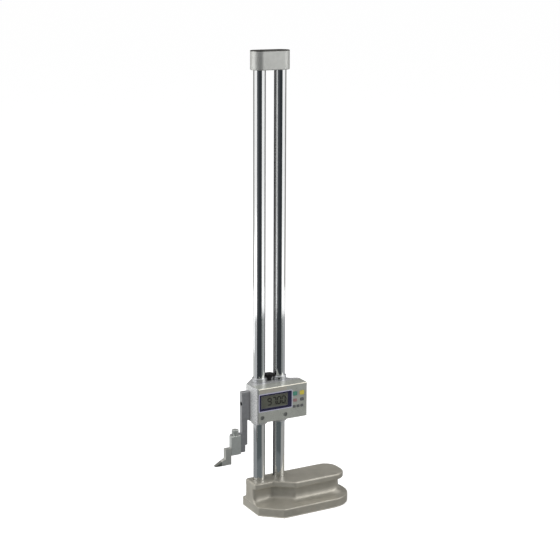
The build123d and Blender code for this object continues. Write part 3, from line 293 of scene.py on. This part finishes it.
def softness(place):
    """How far the skin may relax at a place, from 0 to 1."""
    seat = clear_of_seats(place)
    if seat < SKIN / 2:
        return 0.0
    near_top = place.z > base_high[2] - SEAT_DEPTH
    beside_seat = ramp_between(seat, 0.0, SEAT_CLEAR) if near_top else 1.0
    foot = ramp_between(place.z - base_low[2], *FOOT_RAMP)
    cove = LEDGE_SOFTNESS + (1.0 - LEDGE_SOFTNESS) * ramp_between(place.z, *COVE_RAMP)
    plate = 1.0 - (1.0 - PLATE_SOFTNESS) * ramp_between(place.z, *PLATE_RAMP)
    end_face = END_SOFTNESS + (1.0 - END_SOFTNESS) * ramp_between(place.x - base_low[0], *END_RAMP)
    return foot * beside_seat * min(cove, plate, end_face)


def hollow(level):
    """Level of the hollowed cove, with a flatter ledge and a rounder turn at the waist."""
    share = (level - LEDGE) / (WAIST_FOOT - LEDGE)
    return LEDGE + (WAIST_FOOT - LEDGE) * share ** COVE_POWER


def smooth(made, name, passes, group=""):
    """Evens out a mesh, by the weights of a vertex group if one is named."""
    step = made.modifiers.new(name, "SMOOTH")
    step.factor = 0.5
    step.iterations = passes
    step.vertex_group = group
    bpy.ops.object.modifier_apply(modifier=step.name)


# %% Cast base
casting = merged_copy("base", "base_casting")
skin = casting.modifiers.new("skin", "REMESH")
skin.mode = "VOXEL"
skin.voxel_size = SKIN
bpy.ops.object.modifier_apply(modifier=skin.name)
for vertex in casting.data.vertices:
    level = vertex.co.z
    if clear_of_seats(vertex.co) < SEAT_CLEAR:
        continue
    if LEDGE < level < WAIST_FOOT:
        vertex.co.z = hollow(level)
    rise = level - (LEDGE - FLANGE_FILLET)
    if not 0.0 < rise < FLANGE_FILLET:
        continue
    outward = Vector(vertex.normal.xy)
    if outward.length > SMALLEST_OUTWARD:
        inset = FLANGE_FILLET - math.sqrt(FLANGE_FILLET ** 2 - rise ** 2)
        vertex.co.xy += outward.normalized() * inset
soft = casting.vertex_groups.new(name=SOFT_GROUP)
for vertex in casting.data.vertices:
    soft.add([vertex.index], softness(vertex.co), "REPLACE")
smooth(casting, "even", EVEN_PASSES)
smooth(casting, "relax", CORNER_PASSES, SOFT_GROUP)
casting.vertex_groups.clear()
bpy.ops.object.shade_smooth()
casting.data.materials.clear()
casting.data.materials.append(base_enamel)
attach(casting, "stand")
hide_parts("base")
print("casting faces:", len(casting.data.polygons))

# %% [markdown]
# ## Columns and rack
# The columns are ground bar with a hard chrome plate, which is close to a mirror. Fine streaks
# along them make the gloss uneven. The rack is plain oiled steel.

# %% Finish of the columns and the rack
hard_chrome = finish_of("ground_hard_chrome", "e9eaea", "f1f2f2", 1.0, (0.05, 0.11), 6.0,
                        rough_mm=1.2, stretch=(1.0, 1.0, 0.15))
milled_steel = finish_of("milled_steel", "a3a4a6", "b4b5b7", 1.0, (0.28, 0.42), 3.0,
                         rough_mm=0.6, depth_mm=0.01)
dress(hard_chrome, "left_column", "right_column")
dress(milled_steel, "rack")

# %% [markdown]
# ## The cap
# The cap is an alloy casting, blasted with glass beads and plated, so it is a soft, even light
# grey.

# %% Finish of the cap
satin_plate = finish_of("bead_blasted_satin_plate", "bdbeba", "c9cac6", 0.75, (0.42, 0.50), 8.0,
                        rough_mm=0.8, depth_mm=0.01)
dress(satin_plate, "column_cap")

# %% [markdown]
# The flat top of the cap is painted dark, a painted shade that stands in for the dark it mirrors
# from above. The same finish changes colour with height: a step on the object's own Z coordinate,
# just below the top, lays the painted shade over the plate.

# %% Painted shade on the top of the cap
PAINTED_SHADE_DEPTH = 1.7 * MM
cap_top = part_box("column_cap")[1][2]
cap_tree = satin_plate.node_tree
painted_shade_mask = node(cap_tree, "ShaderNodeMapRange", {
    "Value": object_axes(cap_tree)["Z"],
    "From Min": cap_top - PAINTED_SHADE_DEPTH, "From Max": cap_top - PAINTED_SHADE_DEPTH / 2})
# Painted shade: a dark colour on the flat top stands in for the dark it mirrors from above.
paint_over(satin_plate, painted_shade_mask.outputs["Result"], "35332f")

# %% [markdown]
# ## The slider
# Housing and front cover have a smooth metallic grey coat with a light gloss, in which the
# collars and the knob mirror themselves on the flat top.

# %% Finish of the slider
housing_coat = finish_of("metallic_coat_on_die_casting", "b8b9b9", "c3c4c4", 0.4, (0.24, 0.31), 14.0,
                         rough_mm=1.5, depth_mm=0.006)
cover_coat = finish_of("metallic_coat_on_moulding", "adafa8", "b9bbb4", 0.45, (0.26, 0.34), 14.0,
                       rough_mm=1.2, depth_mm=0.008)
turned_steel = finish_of("turned_steel", "cfd0d2", "dddee0", 1.0, (0.30, 0.38), 2.0,
                         rough_mm=0.5, depth_mm=0.004, stretch=(0.2, 0.2, 2.0))
polished_screw = finish_of("polished_screw_steel", "9c9d9b", "a9aaa8", 1.0, (0.26, 0.34), 1.0,
                           rough_mm=0.3)
dress(housing_coat, "slider_housing")
dress(cover_coat, "front_cover")
dress(turned_steel, "left_upper_bush", "right_upper_bush", "left_lower_bush", "right_lower_bush",
      "feed_bush", "encoder_bush", "feed_shaft", "board_screws")
dress(polished_screw, "cover_screws")

# %% [markdown]
# Along the rolled upper edge of the cover a pale painted highlight stands in for the light that the
# roll catches. Two ramps, one down from the top and one back from the front, are both above zero
# only on the roll, so the smaller of them is its mask.

# %% Painted highlight on the edge of the cover
ROLL = 1.1 * MM
HIGHLIGHT_START, HIGHLIGHT_FULL = 0.05, 0.3
cover_low, cover_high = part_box("front_cover")
cover_tree = cover_coat.node_tree
axes = object_axes(cover_tree)
down = node(cover_tree, "ShaderNodeMapRange", {
    "Value": axes["Z"], "From Min": cover_high[2] - ROLL, "From Max": cover_high[2]})
back = node(cover_tree, "ShaderNodeMapRange", {
    "Value": axes["Y"], "From Min": cover_low[1] + ROLL, "From Max": cover_low[1]})
on_roll = node(cover_tree, "ShaderNodeMath", operation="MINIMUM")
cover_tree.links.new(down.outputs["Result"], on_roll.inputs[0])
cover_tree.links.new(back.outputs["Result"], on_roll.inputs[1])
painted_highlight_mask = node(cover_tree, "ShaderNodeMapRange", {
    "Value": on_roll.outputs[0], "From Min": HIGHLIGHT_START, "From Max": HIGHLIGHT_FULL})
# Painted highlight: a pale colour on the roll stands in for the light it catches.
paint_over(cover_coat, painted_highlight_mask.outputs["Result"], "f2eddc")

# %% [markdown]
# ## Display
# A glossy navy bezel frames a clear acrylic window. The liquid crystal behind it is olive grey.
# Real acrylic bends light, but over a flat display the bend shifts nothing that the eye notices
# and costs much noise, so the window is mostly see-through by its alpha and keeps only a faint
# tint, gloss and smear.

# %% Finish of the display
bezel_gloss = finish_of("glossy_navy_moulding", "201e3c", "282643", 0.0, (0.14, 0.2), 10.0,
                        ior=1.45)
lcd_face = finish_of("liquid_crystal_face", "7b7d71", "84867a", 0.0, (0.45, 0.55), 12.0)
principled(lcd_face).inputs["Specular IOR Level"].default_value = 0.1
dress(bezel_gloss, "display_bezel")
dress(lcd_face, "lcd_panel")

window_acrylic, tree, shader = new_material("clear_acrylic")
smear = spread(tree, grain(tree, 9.0, 3.0).outputs["Fac"], 0.03, 0.08)
tree.links.new(smear.outputs["Result"], shader.inputs["Roughness"])
shader.inputs["Base Color"].default_value = linear("2a2c2a")
shader.inputs["IOR"].default_value = 1.49
shader.inputs["Alpha"].default_value = 0.16
dress(window_acrylic, "display_window")

# %% [markdown]
# ## Keys, knobs and screws
# The keys are silicone in four colours. What the hand turns is moulded or anodised black, and the
# small screws are oxidised black.

# %% Finish of the small pieces


def silicone(name, dark, light, roughness):
    """A satin rubber finish for a key."""
    return finish_of(name, dark, light, 0.0, roughness, 3.0, rough_mm=0.6, depth_mm=0.01)


key_green = silicone("teal_silicone", "42806f", "4c8c7b", (0.40, 0.50))
key_yellow = silicone("yellow_silicone", "c4b545", "cfc050", (0.40, 0.50))
key_grey = silicone("grey_silicone", "565759", "606163", (0.42, 0.52))
key_rose = silicone("rose_silicone", "8f6d6e", "997778", (0.42, 0.52))
knob_black = finish_of("black_moulding", "0b080c", "120e13", 0.0, (0.48, 0.6), 4.0,
                       rough_mm=0.5, depth_mm=0.015)
black_oxide = finish_of("black_oxide_steel", "1d1d1f", "2a2a2c", 0.7, (0.32, 0.45), 2.0,
                        rough_mm=0.4, depth_mm=0.006)
brass_finish = finish_of("hobbed_brass", "b08d4a", "c09c56", 1.0, (0.22, 0.34), 2.0,
                         rough_mm=0.4, depth_mm=0.005)
board_varnish = finish_of("varnished_board", "1f5a33", "27683c", 0.0, (0.22, 0.32), 2.0, ior=1.5)
moulded_black = finish_of("moulded_black", "151516", "1c1c1e", 0.0, (0.45, 0.55), 2.0,
                          depth_mm=0.01)
battery_steel = finish_of("battery_can", "c4c4c2", "d2d2d0", 1.0, (0.20, 0.28), 3.0,
                          depth_mm=0.004)
wheel_black = finish_of("anodised_alloy", "2a2a2c", "353537", 0.8, (0.28, 0.38), 3.0,
                        rough_mm=0.4, depth_mm=0.006)
dress(key_green, "zero_key")
dress(key_yellow, "hold_key")
dress(key_rose, "preset_key")
dress(key_grey, "mode_key", "minus_key", "plus_key", "power_key")
dress(knob_black, "clamp_knob", "battery_cap", "socket_cover")
dress(black_oxide, "collar_screw", "arm_screw", "clamp_screws", "base_screws", "cap_screws",
      "wheel_screw")
dress(brass_finish, "encoder_shaft", "clamp_shoes")
dress(board_varnish, "circuit_board")
dress(moulded_black, "key_switches", "encoder_sensor", "encoder_disc", "data_socket")
dress(battery_steel, "battery")
dress(wheel_black, "feed_wheel")

# %% [markdown]
# ## Arm and scriber
# The arm is ground and left dark, the clamp block and its thumb screw are satin, and the scriber
# is tool steel with a carbide tip, which is darker.

# %% Finish of the arm and the scriber
arm_steel = finish_of("ground_dark_steel", "a0a0a3", "adadb0", 0.8, (0.32, 0.42), 5.0,
                      rough_mm=0.5, depth_mm=0.006)
clamp_steel = finish_of("milled_satin_steel", "cccfcb", "d6d9d5", 0.8, (0.30, 0.40), 5.0,
                        rough_mm=0.5, depth_mm=0.008)
scriber_steel = finish_of("ground_tool_steel", "cbcbc5", "d6d6d0", 0.8, (0.28, 0.38), 4.0,
                          rough_mm=0.4, depth_mm=0.005)
carbide = finish_of("ground_carbide", "9c9c95", "aaaaa3", 1.0, (0.26, 0.36), 1.5,
                    rough_mm=0.3, depth_mm=0.003)
dress(arm_steel, "scriber_arm")
dress(clamp_steel, "scriber_clamp", "thumb_screw")
dress(scriber_steel, "scriber")
dress(carbide, "scriber_tip")

# %% [markdown]
# ## Small trim on the front
# The reading, the lip round the bezel and the bare title plate are thin trims. Each is a small
# block or plane that is bevelled in edit mode, so its outline stays as crisp as a print.

# %% Helpers for trim
FRONT = cover_low[1]


def edit_mesh(made):
    """Opens edit mode with nothing selected."""
    pick(made)
    bpy.ops.object.mode_set(mode="EDIT")
    bpy.ops.mesh.select_all(action="DESELECT")
    return bmesh.from_edit_mesh(made.data)


def settle(made, body, finish):
    """Puts the place into the mesh, gives the finish and lets the piece ride on its body."""
    pick(made)
    bpy.ops.object.transform_apply(location=True, rotation=True, scale=True)
    made.data.materials.clear()
    made.data.materials.append(finish)
    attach(made, body)


ALONG = 0.9


def cut_block(name, middle, size, offset, segments=1):
    """A thin block that faces the front, with its four corners bevelled."""
    bpy.ops.object.select_all(action="DESELECT")
    bpy.ops.mesh.primitive_cube_add(size=1.0, location=middle)
    made = bpy.context.object
    made.name = name
    made.scale = size
    bpy.ops.object.transform_apply(location=False, rotation=False, scale=True)
    mesh = edit_mesh(made)
    for edge in mesh.edges:
        along = edge.verts[1].co - edge.verts[0].co
        edge.select_set(abs(along.y) > ALONG * along.length)
    bmesh.update_edit_mesh(made.data)
    bpy.ops.mesh.bevel(offset=offset, segments=segments, affect="EDGES")
    bpy.ops.object.mode_set(mode="OBJECT")
    return made


def trim_ring(name, low, high, y, width, corner, depth):
    """A rounded ring that lies on the front between two corners of its outer edge."""
    bpy.ops.object.select_all(action="DESELECT")
    bpy.ops.mesh.primitive_plane_add(
        size=1.0, location=((low[0] + high[0]) / 2, y, (low[1] + high[1]) / 2),
        rotation=(math.radians(90), 0, 0))
    made = bpy.context.object
    made.name = name
    made.scale = (high[0] - low[0], high[1] - low[1], 1.0)
    bpy.ops.object.transform_apply(location=False, rotation=False, scale=True)
    edit_mesh(made)
    bpy.ops.mesh.select_all(action="SELECT")
    bpy.ops.mesh.bevel(offset=corner, segments=5, affect="VERTICES")
    bpy.ops.mesh.select_all(action="SELECT")
    bpy.ops.mesh.inset(thickness=width)
    bpy.ops.mesh.delete(type="FACE")
    bpy.ops.object.mode_set(mode="OBJECT")
    wall = made.modifiers.new("wall", "SOLIDIFY")
    wall.thickness = depth
    wall.offset = 1.0
    bpy.ops.object.modifier_apply(modifier=wall.name)
    return made


# %% [markdown]
# ## The reading
# Liquid crystal digits are seven bars each, with pointed ends. A flat bar, a tall bar and a point
# are modelled, and every lit bar of the reading is a copy of one of them. They lie in the cell,
# just in front of its grey face and behind the window.

# %% Digits
DIGIT_HEIGHT = 11.6 * MM
DIGIT_WIDTH = 6.0 * MM
DIGIT_PITCH = 8.8 * MM
BAR = 1.9 * MM
BAR_SHARE = 0.92
BAR_TIP = 0.49 * BAR
POINT_CORNER = 0.2 * BAR
INK = 0.04 * MM
MARGIN_RIGHT = 4.4 * MM
DROP = 0.6 * MM
READING = "97.00"
LIT = {"0": "abcdef", "7": "abc", "9": "abcdfg"}

window_low, window_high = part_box("display_window")
ink_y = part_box("lcd_panel")[0][1] - INK
reading_right = window_high[0] - MARGIN_RIGHT
reading_middle = (window_low[2] + window_high[2]) / 2 - DROP
half, step = DIGIT_WIDTH / 2, DIGIT_HEIGHT / 2
BARS = {
    "a": (0, step, False), "g": (0, 0, False), "d": (0, -step, False),
    "f": (-half, step / 2, True), "b": (half, step / 2, True),
    "e": (-half, -step / 2, True), "c": (half, -step / 2, True),
}
flat_bar = cut_block("flat_bar", (0, 0, 0), (DIGIT_WIDTH * BAR_SHARE, INK, BAR), BAR_TIP)
tall_bar = cut_block("tall_bar", (0, 0, 0), (BAR, INK, step * BAR_SHARE), BAR_TIP)
point = cut_block("point", (0, 0, 0), (BAR, INK, BAR), POINT_CORNER)


def copy_to(made, place):
    """A copy with its own mesh at a place."""
    copied = made.copy()
    copied.data = made.data.copy()
    copied.location = place
    scene.collection.objects.link(copied)
    return copied


lit_bars = []
digit_x = reading_right - half
for sign in reversed(READING):
    if sign == ".":
        gap_x = digit_x + DIGIT_PITCH - half - (DIGIT_PITCH - DIGIT_WIDTH) / 2
        lit_bars.append(copy_to(point, (gap_x, ink_y, reading_middle - step)))
        continue
    for bar in LIT[sign]:
        x, z, upright = BARS[bar]
        model = tall_bar if upright else flat_bar
        lit_bars.append(copy_to(model, (digit_x + x, ink_y, reading_middle + z)))
    digit_x -= DIGIT_PITCH
for spare in (flat_bar, tall_bar, point):
    bpy.data.objects.remove(spare)
bpy.ops.object.select_all(action="DESELECT")
for bar in lit_bars:
    bar.select_set(True)
bpy.context.view_layer.objects.active = lit_bars[0]
bpy.ops.object.join()
reading = bpy.context.object
reading.name = "reading"
lcd_ink = finish_of("liquid_crystal_dark", "090b07", "0e100b", 0.0, (0.6, 0.7), 4.0)
principled(lcd_ink).inputs["Specular IOR Level"].default_value = 0.05
settle(reading, "slider", lcd_ink)
print("lit bars:", len(lit_bars))

# %% [markdown]
# ## Lip round the bezel and title plate
# The bezel sits in a thin pale lip, pressed round it, and above it runs a bare satin plate.

# %% Lip and plate
LIP = 1.3 * MM
LIP_OVERLAP = 1.02
LIP_CORNER = 1.8 * MM
LIP_DEPTH = 0.12 * MM
PLATE_SIZE = (50.0 * MM, 0.12 * MM, 4.6 * MM)
PLATE_PLACE = (26.0 * MM, 5.6 * MM)
PLATE_CORNER = 0.8 * MM
bezel_low, bezel_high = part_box("display_bezel")
lip_finish = finish_of("pale_satin_lip", "cbcae2", "d6d5ea", 0.2, (0.3, 0.4), 6.0)
lip = trim_ring(
    "bezel_lip", (bezel_low[0] - LIP, bezel_low[2] - LIP), (bezel_high[0] + LIP, bezel_high[2] + LIP),
    FRONT, LIP * LIP_OVERLAP, LIP_CORNER, LIP_DEPTH)
settle(lip, "slider", lip_finish)

plate_finish = finish_of("satin_anodised_foil", "b9b4a8", "c4bfb3", 0.5, (0.32, 0.42), 8.0)
plate_middle = (
    bezel_low[0] + PLATE_PLACE[0], FRONT - PLATE_SIZE[1] / 2, bezel_high[2] + PLATE_PLACE[1])
title_plate = cut_block("title_plate", plate_middle, PLATE_SIZE, PLATE_CORNER, 4)
settle(title_plate, "slider", plate_finish)
print("front trim:", lip.name, title_plate.name)

# %% [markdown]
# ## The studio
# A pale floor, a white surround and four soft lamps. Polished metal shows whatever stands round
# it, so grey and black cards, which only reflections see, stand and lie round the gauge, and one
# bright card hangs above it. Each card spans a range of headings, counted from the side of the
# camera.

# %% Floor and surround
FLOOR_HALF = 30.0
FLOOR_DROP = 0.0002
FLOOR_GLOW = 0.72
PAPER_WHITE = (0.5, 0.5, 0.5, 1)
FILL_LIGHT = 0.55


def seen_rays(tree):
    """1 for rays that look straight, in a mirror or through glass, and 0 for those that light."""
    path = node(tree, "ShaderNodeLightPath")
    straight = node(tree, "ShaderNodeMath", operation="MAXIMUM")
    tree.links.new(path.outputs["Is Camera Ray"], straight.inputs[0])
    tree.links.new(path.outputs["Is Glossy Ray"], straight.inputs[1])
    seen = node(tree, "ShaderNodeMath", operation="MAXIMUM")
    tree.links.new(straight.outputs[0], seen.inputs[0])
    tree.links.new(path.outputs["Is Transmission Ray"], seen.inputs[1])
    return seen.outputs[0]


bpy.ops.object.select_all(action="DESELECT")
bpy.ops.mesh.primitive_plane_add(size=2 * FLOOR_HALF, location=(0, 0, -FLOOR_DROP))
floor = bpy.context.object
floor.name = "floor"
floor_paper = bpy.data.materials.new("white_paper")
floor_paper.use_nodes = True
tree = floor_paper.node_tree
tree.nodes.clear()
seen = seen_rays(tree)
glow_level = node(tree, "ShaderNodeMath", operation="MULTIPLY")
tree.links.new(seen, glow_level.inputs[0])
glow_level.inputs[1].default_value = FLOOR_GLOW
glow = node(tree, "ShaderNodeEmission", {
    "Color": linear("ffffff"), "Strength": glow_level.outputs[0]})
paper = node(tree, "ShaderNodeBsdfDiffuse", {"Color": PAPER_WHITE})
both = node(tree, "ShaderNodeAddShader")
tree.links.new(glow.outputs[0], both.inputs[0])
tree.links.new(paper.outputs[0], both.inputs[1])
node(tree, "ShaderNodeOutputMaterial", {"Surface": both.outputs[0]})
floor.data.materials.append(floor_paper)

world = bpy.data.worlds.new("surround")
scene.world = world
world.use_nodes = True
tree = world.node_tree
tree.nodes.clear()
seen = seen_rays(tree)
strength = node(tree, "ShaderNodeMapRange", {"Value": seen, "To Min": FILL_LIGHT, "To Max": 1.0})
surround = node(tree, "ShaderNodeBackground", {
    "Color": linear("ffffff"), "Strength": strength.outputs["Result"]})
node(tree, "ShaderNodeOutputWorld", {"Surface": surround.outputs[0]})

# %% Cards on walls and floor
CARD_DISTANCE = 1.3
BACK_DISTANCE = 1.6
CARD_STEPS = 180
CARD_LEVEL = 0.002


def heading_of(x, y):
    """Heading of a place in degrees round the gauge, 0 on the camera's side, positive to its left."""
    return (math.degrees(math.atan2(-x, -y) - TURN) + 180.0) % 360.0 - 180.0


def only_in_mirrors(made, shade, strength=1.0):
    """Gives a card an even glow of this shade and hides it from everything but reflections."""
    paint = bpy.data.materials.new(made.name)
    paint.use_nodes = True
    paint_tree = paint.node_tree
    paint_tree.nodes.clear()
    dull = node(paint_tree, "ShaderNodeEmission", {"Color": linear(shade), "Strength": strength})
    node(paint_tree, "ShaderNodeOutputMaterial", {"Surface": dull.outputs[0]})
    made.data.materials.append(paint)
    made.visible_camera = False
    made.visible_diffuse = False
    made.visible_shadow = False
    made.visible_transmission = False


def keep_headings(made, start, end):
    """Deletes the faces of a ring outside a range of headings, where end may be more than 180."""
    bpy.ops.object.mode_set(mode="EDIT")
    bpy.ops.mesh.select_all(action="DESELECT")
    mesh = bmesh.from_edit_mesh(made.data)
    for face in mesh.faces:
        middle = made.matrix_world @ face.calc_center_median()
        heading = heading_of(middle.x, middle.y)
        inside = start <= heading <= end or start <= heading + 360.0 <= end
        face.select_set(not inside)
    bmesh.update_edit_mesh(made.data)
    bpy.ops.mesh.delete(type="FACE")
    bpy.ops.object.mode_set(mode="OBJECT")


def wall_card(name, start, end, low, high, shade, distance=CARD_DISTANCE):
    """A curved upright card between two headings and two levels."""
    bpy.ops.object.select_all(action="DESELECT")
    bpy.ops.mesh.primitive_cylinder_add(
        vertices=CARD_STEPS, radius=distance, depth=high - low, end_fill_type="NOTHING",
        location=(0, 0, (low + high) / 2))
    made = bpy.context.object
    made.name = name
    keep_headings(made, start, end)
    only_in_mirrors(made, shade)


def floor_card(name, start, end, inner, outer, shade):
    """A flat ring sector on the floor between two headings and two radii."""
    bpy.ops.object.select_all(action="DESELECT")
    bpy.ops.mesh.primitive_circle_add(
        vertices=CARD_STEPS, radius=outer, location=(0, 0, CARD_LEVEL))
    made = bpy.context.object
    made.name = name
    bpy.ops.object.mode_set(mode="EDIT")
    bpy.ops.mesh.select_all(action="SELECT")
    bpy.ops.mesh.extrude_region_move()
    bpy.ops.transform.resize(
        value=(inner / outer, inner / outer, 1.0), center_override=(0.0, 0.0, CARD_LEVEL))
    bpy.ops.object.mode_set(mode="OBJECT")
    keep_headings(made, start, end)
    only_in_mirrors(made, shade)


wall_card("dark_card_front_left", 12, 46, 0.0, 2.6, "4c4f53")
wall_card("black_card_front", -46, 12, 0.0, 2.6, "33373a")
wall_card("grey_card_back", 107, 253, 0.0, 0.82, "82817f", BACK_DISTANCE)
wall_card("black_card_back", 140, 220, 0.82, 1.5, "1c1c1a", BACK_DISTANCE)
floor_card("black_floor_front", -46, 46, 0.6, CARD_DISTANCE, "34383b")
floor_card("grey_floor_front_far", -46, 46, 0.25, 0.6, "545b5d")
floor_card("grey_floor_front_near", -46, 46, 0.03, 0.25, "6b7173")
floor_card("grey_floor_left_near", 46, 141, 0.03, 0.42, "8e9193")
floor_card("pale_floor_left_far", 46, 104, 0.42, CARD_DISTANCE, "b9bbbd")
floor_card("white_floor_left", 104, 141, 0.42, 0.95, "d2d3d1")
floor_card("grey_floor_right_near", -141, -46, 0.03, 0.42, "a2a2a0")
floor_card("grey_floor_right", -78, -46, 0.42, CARD_DISTANCE, "8a8e8d")
floor_card("pale_floor_right_far", -141, -78, 0.42, CARD_DISTANCE, "a4a6a8")
floor_card("grey_floor_back", 141, 219, 0.03, BACK_DISTANCE, "82817f")

bpy.ops.object.select_all(action="DESELECT")
CEILING_PLACE = (1.25, 0.5, 2.4)
CEILING_SIZE = (1.0, 0.95, 1.0)
CEILING_GLOW = 3.6
bpy.ops.mesh.primitive_plane_add(size=1.0, location=CEILING_PLACE)
ceiling_card = bpy.context.object
ceiling_card.name = "bright_ceiling"
ceiling_card.scale = CEILING_SIZE
only_in_mirrors(ceiling_card, "ffffff", CEILING_GLOW)

# %% Lamps


def lamp(name, place, aim, size, power):
    """A soft rectangular lamp that points from its place at a target."""
    data = bpy.data.lights.new(name, "AREA")
    data.shape = "RECTANGLE"
    data.size, data.size_y = size
    data.energy = power
    made = bpy.data.objects.new(name, data)
    scene.collection.objects.link(made)
    made.location = place
    made.rotation_euler = (Vector(aim) - Vector(place)).to_track_quat("-Z", "Y").to_euler()
    made.visible_camera = False
    return made


MIDDLE = (0, 0, 0.35)
LOW_MIDDLE = (0, 0, 0.2)
left_softbox = lamp("left_softbox", (-2.2, -0.2, 1.4), MIDDLE, (2.0, 2.2), 40.0)
rear_left_softbox = lamp("rear_left_softbox", (-1.9, 1.0, 0.9), MIDDLE, (1.5, 1.5), 30.0)
lamp("right_softbox", (1.6, -1.4, 1.6), MIDDLE, (0.9, 1.6), 11.0)
top_softbox = lamp("top_softbox", (-0.1, -0.1, 2.3), LOW_MIDDLE, (1.6, 2.0), 13.0)
for softbox in (left_softbox, rear_left_softbox, top_softbox):
    softbox.visible_glossy = False

# %% Colour handling
scene.view_settings.view_transform = "Standard"
